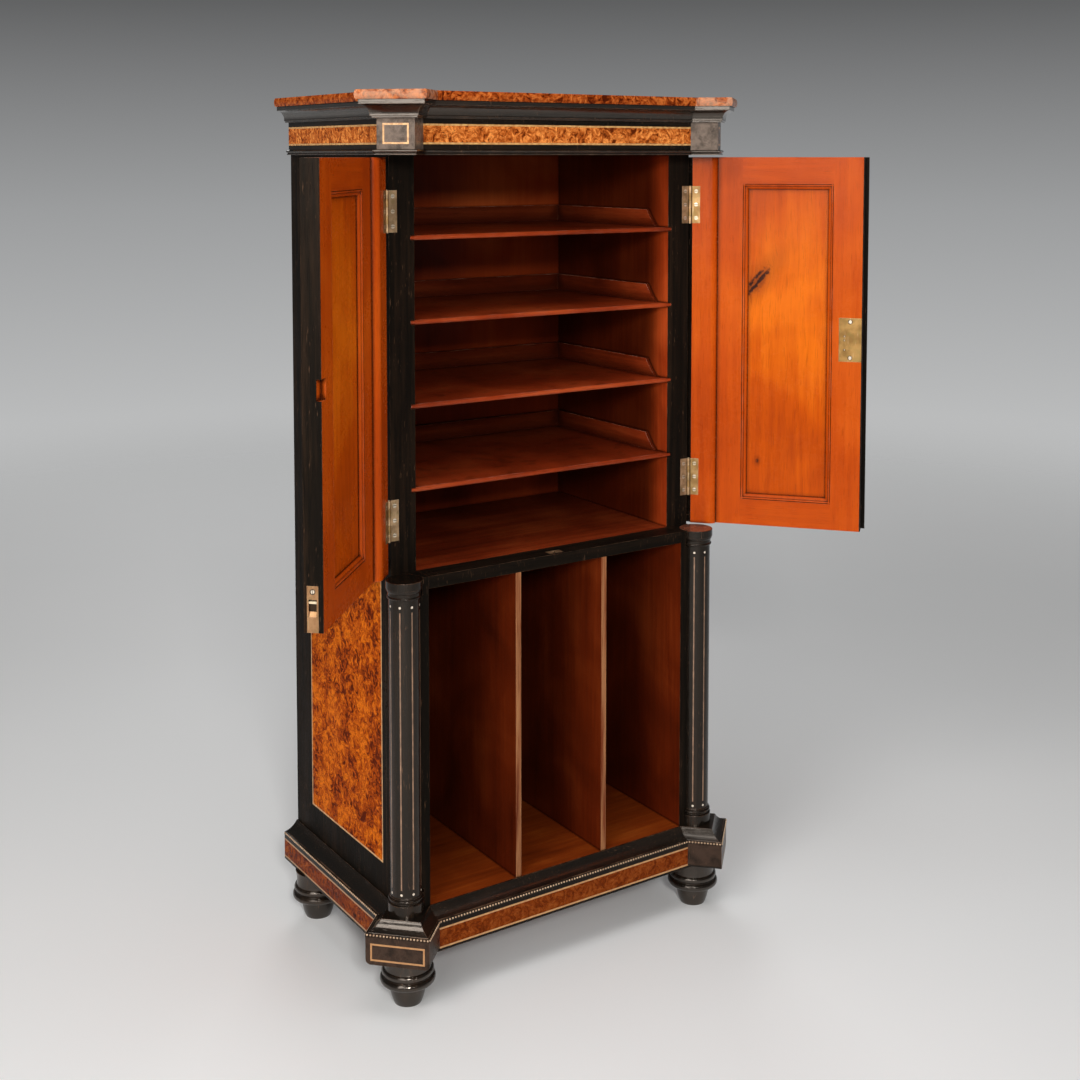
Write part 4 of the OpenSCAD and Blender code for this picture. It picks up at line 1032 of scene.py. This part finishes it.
@dataclass
class Carcass(Assembly):
    """The fixed case: sides, top, plinth, feet, shelf, floor, divisions and back.

    Attributes:
        column_dots: Heights of the dots on the lower columns.
        column_lines: Heights between which their lines lie.
        column_front: Y in front of which those lines lie.
        column_top: Heights between which the right column's bare upper face lies.
    """

    column_dots: tuple[float, ...] = (0.177, 0.6195)
    column_lines: tuple[float, float] = (0.15, 0.65)
    column_front: float = -0.070
    column_top: tuple[float, float] = (0.6562, 0.6580)

    def _black(self) -> None:
        """Gives the ebonised pieces their finishes."""
        turned = {"shine": 0.42, "ior": 1.42}
        self.put(Ebonised("ebonised_left_column", 0.10, 0.22, 0.0010, **turned), "left_lower_column")
        self.put(Ebonised("ebonised_right_column", 0.10, 0.22, 0.0010, bared=self.column_top, **turned),
                 "right_lower_column")
        self.put(Ebonised("ebonised_feet", 0.06, 0.16, 0.0010, thin=1.0, shine=0.8, ior=1.50),
                 "front_left_foot", "front_right_foot", "rear_left_foot", "rear_right_foot")
        self.put(Ebonised("ebonised_mouldings_round_the_case", 0.12, 0.26, 0.0016, grain=Grain.ROUND_THE_CASE,
                          shine=0.8, ior=1.50), "cornice_moulding", "frieze_bead", "plinth_moulding")
        flat = {Grain.ALONG_FRONT: ("top_board", "mid_rail"),
                Grain.UPRIGHT: ("side_frames", "left_front_post", "right_front_post", "back_frame")}
        for grain, names in flat.items():
            self.put(Ebonised(f"ebonised_{grain.name.lower()}", 0.26, 0.44, grain=grain, ior=1.11), *names)
        # The frieze and plinth blocks get a painted sheen on their canted faces.
        for name, rubbed in (("frieze_frame", (0.175, 0.133, 0.106)), ("plinth_frame", (0.050, 0.029, 0.020))):
            self.put(Ebonised(f"ebonised_{name}", 0.24, 0.40, grain=Grain.ROUND_THE_CASE, canted_sheen=rubbed), name)

    def _mahogany(self) -> None:
        """Gives the mahogany pieces inside their finishes, with painted light near the front and painted shade
        farther in.
        """
        upper_walls = PaintedFrontLight(UPPER_FRONT, 0.060, 4.0, 0.72, low=SHELF_LEVEL)
        lower_walls = PaintedFrontLight(LOWER_FRONT, 0.150, 1.5, 0.74, high=SHELF_LEVEL)
        shelf = PaintedFrontLight(UPPER_FRONT, 0.30, 1.15, 0.50, low=0.60)
        base = PaintedFrontLight(LOWER_FRONT, 0.34, 1.25, 0.60, high=0.30)
        self.put(Mahogany("mahogany_walls", 0.32, 0.52, rings=0.15, calm=0.62, deep=(0.026, 0.0030, 0.0007),
                          mid=(0.080, 0.0094, 0.0016), light=(0.170, 0.0270, 0.0050),
                          painted_front_lights=(upper_walls, lower_walls)), "wall_linings")
        self.put(Mahogany("mahogany_along_front", 0.32, 0.52, grain=Grain.ALONG_FRONT, calm=0.3, painted_front_lights=(shelf,)),
                 "inner_top_board", "shelf_board", "rear_foot_blocks")
        self.put(Mahogany("mahogany_base", 0.32, 0.52, grain=Grain.ALONG_FRONT, calm=0.4,
                          deep=(0.076, 0.0105, 0.0015), mid=(0.165, 0.0260, 0.0032), light=(0.300, 0.0680, 0.0085),
                          painted_front_lights=(base,)), "base_board")
        self.put(Mahogany("mahogany_back", 0.3, 0.5, deep=(0.130, 0.0150, 0.0035), mid=(0.290, 0.0390, 0.0070),
                          # a pale oval of painted light on the back, with painted shade round it
                          light=(0.54, 0.1050, 0.0220), calm=0.78, painted_light_oval=(0.09, 1.24, 0.19, 0.42),
                          painted_shade_outside_oval=-0.12), "back_boards")
        self.put(Mahogany("mahogany_dividers", 0.32, 0.52, front=(0.36, 0.155, 0.065), deep=(0.026, 0.0031, 0.0007),
                          mid=(0.078, 0.0094, 0.0016), light=(0.165, 0.0270, 0.0050), calm=0.62,
                          painted_front_lights=(lower_walls,)), "dividers")

    def dress(self) -> None:
        """Gives each piece of the case its finish."""
        self._black()
        self._mahogany()
        self.put(Burr("burr_banding", 0.2, 0.36, ior=1.14), "burr_banding")
        self.put(Burr("burr_panels", 0.3, 0.44, ior=1.08, broad=0.62), "side_panels")
        self.put(Boxwood("boxwood_case", 0.3, 0.45, dot_heights=self.column_dots, column=self.column_lines,
                         ahead=self.column_front), "boxwood_stringing")
        self.put(AgedBrass("aged_brass_case", 0.32, 0.55, 0.0005, metal=(0.58, 0.38, 0.21),
                           stain=(0.30, 0.19, 0.10), rim=(0.98, 0.84, 0.66)),
                 "carcass_hinge_leaves", "hinge_pins", "bolt_keep")
        self.put(hinge_screws("screws_case"), "carcass_hinge_screws")


@dataclass
class PlinthBeads:
    """The row of small beads round the top of the plinth, on a thin strip.

    Attributes:
        effects: The shared shader groups.
        back: Y of the cabinet's back, in metres.
        half_width: X of the plinth's side faces.
        depth: Distance from the back to the plinth's front face.
        corner: Distance of the corner block's centre from the middle and from the back.
        face: Distance of the block's canted face from that centre.
        half: Half of the block's width.
        height: Height of the beads' centres.
        radius: A bead's radius.
        pitch: Distance from bead to bead.
        strip_out: How far the strip stands out.
        strip_drop: The strip's height.
    """

    effects: Effects
    back: float = 0.28228
    half_width: float = 0.3145
    depth: float = 0.415
    corner: tuple[float, float] = (0.2815, 0.382)
    face: float = 0.054
    half: float = 0.050
    height: float = 0.1258
    radius: float = 0.00165
    pitch: float = 0.0052
    strip_out: float = 0.0005
    strip_drop: float = 0.0010

    def _corners(self) -> list[Vector]:
        """Works out where the row turns, on the right-hand side.

        Returns:
            Its corner points, from the middle of the front to the back.
        """
        out = Vector((1.0, -1.0)).normalized()
        along = Vector((1.0, 1.0)).normalized()
        centre = Vector((self.corner[0], -self.corner[1]))
        near = centre + out * self.face - along * self.half
        far = centre + out * self.face + along * self.half
        front = Vector((near.x - (-self.depth - near.y), -self.depth))
        side = Vector((self.half_width, far.y - (self.half_width - far.x)))
        return [Vector((0.0, -self.depth)), front, near, far, side, Vector((self.half_width, 0.0))]

    def _bead_places(self) -> list[Vector]:
        """Spaces the beads evenly along every run, on the right-hand side.

        Returns:
            Each bead's centre.
        """
        places: list[Vector] = []
        points = self._corners()
        for start, end in zip(points, points[1:]):
            run = end - start
            count = max(1, round(run.length / self.pitch))
            places += [start + run * (i + 0.5) / count for i in range(count)]
        return places

    def _strip(self, bm: bmesh.types.BMesh) -> None:
        """Adds the strip that the beads stand on, extruded from a line of corner points.

        Args:
            bm: The mesh that gets the strip.
        """
        low = self.height - self.radius - self.strip_drop
        verts = [bm.verts.new((p.x, p.y, low)) for p in self._corners()]
        edges = [bm.edges.new(pair) for pair in zip(verts, verts[1:])]
        grown = bmesh.ops.extrude_edge_only(bm, edges=edges)["geom"]
        top = [v for v in grown if isinstance(v, bmesh.types.BMVert)]
        bmesh.ops.translate(bm, verts=top, vec=(0.0, 0.0, self.strip_drop))
        faces = bm.faces[:]
        bmesh.ops.recalc_face_normals(bm, faces=faces)
        if sum(f.normal.y for f in faces) > 0:
            bmesh.ops.reverse_faces(bm, faces=faces)
        bmesh.ops.solidify(bm, geom=faces, thickness=-self.strip_out)
        for face in bm.faces:
            face.material_index = 1

    @staticmethod
    def _twin(bm: bmesh.types.BMesh) -> None:
        """Repeats the right-hand half on the left.

        Args:
            bm: The mesh with the right-hand half.
        """
        twin = bmesh.ops.duplicate(bm, geom=bm.verts[:] + bm.edges[:] + bm.faces[:])["geom"]
        verts = [g for g in twin if isinstance(g, bmesh.types.BMVert)]
        faces = [g for g in twin if isinstance(g, bmesh.types.BMFace)]
        bmesh.ops.transform(bm, matrix=Matrix.Scale(-1.0, 4, Vector((1.0, 0.0, 0.0))), verts=verts)
        bmesh.ops.reverse_faces(bm, faces=faces)

    def build(self) -> None:
        """Makes the beads and their strip as one piece."""
        bm = bmesh.new()
        self._strip(bm)
        for place in self._bead_places():
            spot = Matrix.Translation((place.x, place.y, self.height))
            bmesh.ops.create_uvsphere(bm, u_segments=10, v_segments=6, radius=self.radius, matrix=spot)
        self._twin(bm)
        bmesh.ops.translate(bm, verts=bm.verts[:], vec=(0.0, self.back, 0.0))
        mesh = bpy.data.meshes.new("plinth_beads")
        bm.to_mesh(mesh)
        bm.free()
        for face in mesh.polygons:
            face.use_smooth = True
        piece = bpy.data.objects.new("plinth_beads", mesh)
        bpy.context.scene.collection.objects.link(piece)
        mesh.materials.append(GiltBead("gilt_beads", 0.26, 0.42, 0.0002).build(self.effects))
        mesh.materials.append(Ebonised("ebonised_bead_strip", 0.30, 0.46, 0.0002, worn=0.2).build(self.effects))
        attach(piece, "cabinet")
        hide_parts("pearl_beading")
        LOG.info("plinth beads: %d faces", len(mesh.polygons))


@dataclass
class Door(Assembly):
    """One hinged door with its post, column, framed panel and ironmongery.

    Attributes:
        side: The side that the door hangs on.
        opened: The angle that it stands open at rest, in degrees.
        opening: Bounds of its panel opening in X and Z, on the shut door.
        dots: Heights of the dots on its column.
        lines: Heights between which its column's lines lie.
        knots: The knots in its panel.
        heads: Centres and radii of the screws and rivets in its lock or flush bolt, on the shut door.
        grip: Heights between which the flush bolt's grip lies.
    """

    side: Side
    opened: float
    opening: tuple[float, float, float, float] = (0.0507, 0.2037, 0.703, 1.2468)
    dots: tuple[float, ...] = (0.6965, 1.2543)
    lines: tuple[float, float] = (0.66, 1.30)
    knots: tuple[Knot, ...] = ()
    heads: tuple[tuple[Point, float], ...] = ()
    grip: tuple[float, float] = (0.6976, 0.7022)

    def _inside(self, side: str, hung: Hung) -> None:
        """Gives the frame, the panel and the post their orange mahogany.

        Args:
            side: The side's name.
            hung: Where the door stands.
        """
        orange = {"hung": hung, "deep": (0.310, 0.032, 0.0016), "mid": (0.490, 0.064, 0.0028),
                  "light": (0.640, 0.108, 0.0060), "shade_soiling_share": 0.95, "shade_soiling_tone": 0.10, "reach": 0.009, "calm": 0.5}
        golden = orange | {"mid": (0.520, 0.074, 0.0016), "light": (0.740, 0.150, 0.0050)}
        # The pale pink rubbed edges of frame and post are a painted highlight along the mouldings as well as wear.
        self.put(Mahogany(f"mahogany_{side}_door_frame", 0.22, 0.36, 0.0012, rails=self.opening, worn=0.55,
                          bare=(0.78, 0.33, 0.20), **orange), f"{side}_door_frame")
        self.put(Mahogany(f"mahogany_{side}_door_panel", 0.20, 0.34, rings=0.6, knots=self.knots,
                          # a pale oval of painted highlight on the panel
                          painted_light_oval=(0.118, 1.075, 0.115, 0.26), **golden), f"{side}_door_panel")
        self.put(Mahogany(f"mahogany_{side}_door_post", 0.20, 0.32, 0.0012, worn=0.5, bare=(0.74, 0.34, 0.22),
                          stained=(0.2882, -0.1064), **orange), f"{side}_door_post")

    def dress(self) -> None:
        """Gives each piece of the door its finish."""
        side = self.side.name.lower()
        hung = Hung(self.side, self.opened)
        self._inside(side, hung)
        self.put(Ebonised(f"ebonised_{side}_column", 0.12, 0.26, shine=0.34, ior=1.38), f"{side}_upper_column")
        self.put(Ebonised(f"ebonised_{side}_edges", 0.26, 0.42, shine=0.25, ior=1.18), f"{side}_door_facing")
        self.put(Burr(f"burr_{side}_door", 0.24, 0.40, ior=1.2, broad=0.3, low_tint=(0.80, 0.74, 0.52)),
                 f"{side}_door_veneer")
        self.put(Boxwood(f"boxwood_{side}_door", 0.3, 0.45, dot_heights=self.dots, column=self.lines,
                         pale=(0.55, 0.34, 0.17)), f"{side}_door_stringing")
        self.put(hinge_screws(f"screws_{side}_door"), f"{side}_hinge_screws")
        leaves = [f"{side}_hinge_leaves"]
        if self.side is Side.LEFT:
            self.put(AgedBrass("flush_plate", 0.26, 0.46, 0.0006, hung=hung, metal=(0.48, 0.26, 0.125),
                               stain=(0.30, 0.150, 0.066), heads=self.heads, flat=(0.0, 1.0, 1.0)),
                     "flush_bolt_plate")
            self.put(AgedBrass("bolt_left_door", 0.28, 0.44, 0.0004, hung=hung, grip=self.grip), "flush_bolt_slide")
        else:
            self.put(AgedBrass("lock_plate", 0.30, 0.50, 0.0006, hung=hung, metal=(0.36, 0.205, 0.066),
                               stain=(0.23, 0.125, 0.036), heads=self.heads), "lock_case")
            leaves.append("lock_bolt")
        self.put(AgedBrass(f"aged_brass_{side}_door", 0.28, 0.5, 0.0005, metal=(0.44, 0.265, 0.110)), *leaves)


@dataclass
class Trays(Assembly):
    """The sliding trays.

    Attributes:
        count: How many there are.
    """

    count: int = 4

    def dress(self) -> None:
        """Gives the trays their worn mahogany finish."""
        # The pale pink rubbed edges are a painted highlight along the trays' edges as well as wear.
        finish = Mahogany("mahogany_trays", 0.28, 0.44, 0.0014, grain=Grain.ROUND_THE_CASE, worn=1.0, calm=0.3,
                          reach=0.022, shade_soiling_share=0.85, shade_soiling_tone=0.3, bare=(0.74, 0.36, 0.25), deep=(0.085, 0.0100, 0.0025),
                          mid=(0.215, 0.0270, 0.0060), light=(0.37, 0.0650, 0.0160),
                          # painted light near the front and painted shade farther in
                          painted_front_lights=(PaintedFrontLight(UPPER_FRONT, 0.30, 1.3, 0.46),))
        self.put(finish, *(f"tray_{number}" for number in range(1, self.count + 1)))


@dataclass(frozen=True)
class Lamp:
    """A soft rectangular lamp.

    Attributes:
        name: Its name.
        place: Where it stands.
        aim: The point that it shines at.
        size: Its width and height.
        power: Its power in watts.
        colour: Its colour.
    """

    name: str
    place: Point
    aim: Point
    size: tuple[float, float]
    power: float
    colour: Colour = (1.0, 1.0, 1.0)

    def hang(self) -> None:
        """Adds the lamp to the scene."""
        data = bpy.data.lights.new(self.name, "AREA")
        data.shape = "RECTANGLE"
        data.size, data.size_y = self.size
        data.energy = self.power
        data.color = self.colour
        lamp = bpy.data.objects.new(self.name, data)
        lamp.location = self.place
        lamp.rotation_euler = (Vector(self.aim) - Vector(self.place)).to_track_quat("-Z", "Y").to_euler()
        bpy.context.scene.collection.objects.link(lamp)


@dataclass
class Studio:
    """The pale floor, the soft lamps and the camera.

    Attributes:
        eye: The camera's place, in metres.
        yaw: Its turn to the right of +Y, in radians.
        pitch: Its tilt, in radians.
        lens: Its focal length, in millimetres.
        sensor: Its sensor's width, in millimetres.
        shift: Its vertical shift, as a share of the picture's width.
        floor_size: Width of the floor, in metres.
        floor_fade: Distances from the middle between which the floor fades out.
        lamps: The lamps.
    """

    eye: Point = (-1.3470, -2.06672, 1.2938)
    yaw: float = 0.5873
    pitch: float = -0.0662
    lens: float = 50.05
    sensor: float = 36.0
    shift: float = -0.2634
    floor_size: float = 30.0
    floor_fade: tuple[float, float] = (1.5, 5.5)
    lamps: tuple[Lamp, ...] = (
        Lamp("key", (-1.727, -3.39, 2.15), (0.0, 0.0, 0.85), (0.6, 0.6), 84.0, (1.0, 0.985, 0.96)),
        Lamp("left_soft", (-2.75, -1.95, 1.42), (0.0, -0.1, 1.2), (1.7, 0.9), 32.0, (1.0, 0.97, 0.94)),
        Lamp("left_high", (-1.8, -0.9, 2.35), (0.0, -0.1, 0.5), (0.9, 0.9), 18.0, (1.0, 0.97, 0.94)),
        Lamp("top_soft", (0.0, -0.5, 3.5), (0.0, 0.0, 0.7), (2.0, 1.6), 26.0),
        Lamp("back_soft", (1.5, 3.3, 2.5), (0.0, 0.2, 0.7), (1.6, 1.6), 28.0),
    )

    def camera(self) -> None:
        """Makes the camera at the photograph's viewpoint."""
        data = bpy.data.cameras.new("view")
        data.lens = self.lens
        data.sensor_width = self.sensor
        data.sensor_fit = "HORIZONTAL"
        data.shift_y = self.shift
        data.clip_end = 100.0
        data.dof.use_dof = False
        view = bpy.data.objects.new("view", data)
        view.location = self.eye
        view.rotation_euler = (math.pi / 2 + self.pitch, 0.0, -self.yaw)
        bpy.context.scene.collection.objects.link(view)
        bpy.context.scene.camera = view

    def world(self) -> None:
        """Makes the backdrop, pale below and grey above, and the faint light that comes from all round."""
        world = bpy.data.worlds.new("studio")
        world.use_nodes = True
        w = Wiring(world.node_tree)
        height = w.axis(w.add("ShaderNodeTexCoord").outputs["Generated"], "Z")
        span = w.add("ShaderNodeMapRange", {"Value": height, "From Min": -0.30, "From Max": 0.13}).outputs[0]
        shade = w.ramp(span, (0.0, (0.66, 0.665, 0.665)), (0.62, (0.33, 0.335, 0.34)), (1.0, (0.068, 0.069, 0.070)))
        path = w.add("ShaderNodeLightPath").outputs
        seen = w.work("MAXIMUM", path["Is Camera Ray"], path["Is Transmission Ray"])
        seen = w.work("MAXIMUM", seen, path["Is Glossy Ray"])
        back = w.add("ShaderNodeBackground", {"Color": w.blend(seen, (0.10, 0.10, 0.10), shade)})
        w.add("ShaderNodeOutputWorld", {"Surface": back.outputs[0]})
        bpy.context.scene.world = world

    def floor(self) -> None:
        """Adds the pale floor, which fades into the backdrop."""
        bm = bmesh.new()
        bmesh.ops.create_grid(bm, x_segments=1, y_segments=1, size=self.floor_size / 2)
        mesh = bpy.data.meshes.new("floor")
        bm.to_mesh(mesh)
        bm.free()
        ground = bpy.data.objects.new("floor", mesh)
        bpy.context.scene.collection.objects.link(ground)
        w = Coat("pale_floor")
        place = w.place()
        colour = w.ramp(w.noise(place, 0.8, 3.0), (0.3, (0.90, 0.91, 0.915)), (0.7, (0.925, 0.93, 0.935)))
        alpha = w.ease(w.length("LENGTH", place), *self.floor_fade, 1.0, 0.0)
        w.fill(w.shader, {"Base Color": colour, "Roughness": 0.6, "Alpha": alpha})
        put_on(ground, w.material)

    def build(self) -> None:
        """Sets up the whole studio."""
        self.camera()
        for lamp in self.lamps:
            lamp.hang()
        self.world()
        self.floor()
        bpy.context.scene.view_settings.view_transform = "Standard"
        LOG.info("studio set")


def main() -> None:
    """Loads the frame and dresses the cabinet."""
    logging.basicConfig(level=logging.INFO, format="%(message)s")
    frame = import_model()
    nodes = frame["nodes"]
    effects = Effects()
    Studio().build()
    Carcass(nodes, effects).dress()
    PlinthBeads(effects).build()
    screw, rivet = 0.0034, 0.0012
    Door(nodes, effects, Side.LEFT, opened=133.0, heads=(((0.0, -0.09472, 0.7145), screw),)).dress()
    knots = (Knot((0.1785, 1.0800), long=0.031, wide=0.0105, lean=129.6),
             Knot((0.1761, 0.7694), long=0.004, wide=0.0028, lean=90.0, depth=0.7))
    heads = tuple(((0.02095, 0.0, height), screw) for height in (1.0155, 0.9545))
    heads += tuple(((0.0303, 0.0, height), rivet) for height in (0.9909, 0.9843, 0.9680))
    Door(nodes, effects, Side.RIGHT, opened=130.5, knots=knots, heads=heads).dress()
    Trays(nodes, effects).dress()


if __name__ == "__main__":
    main()
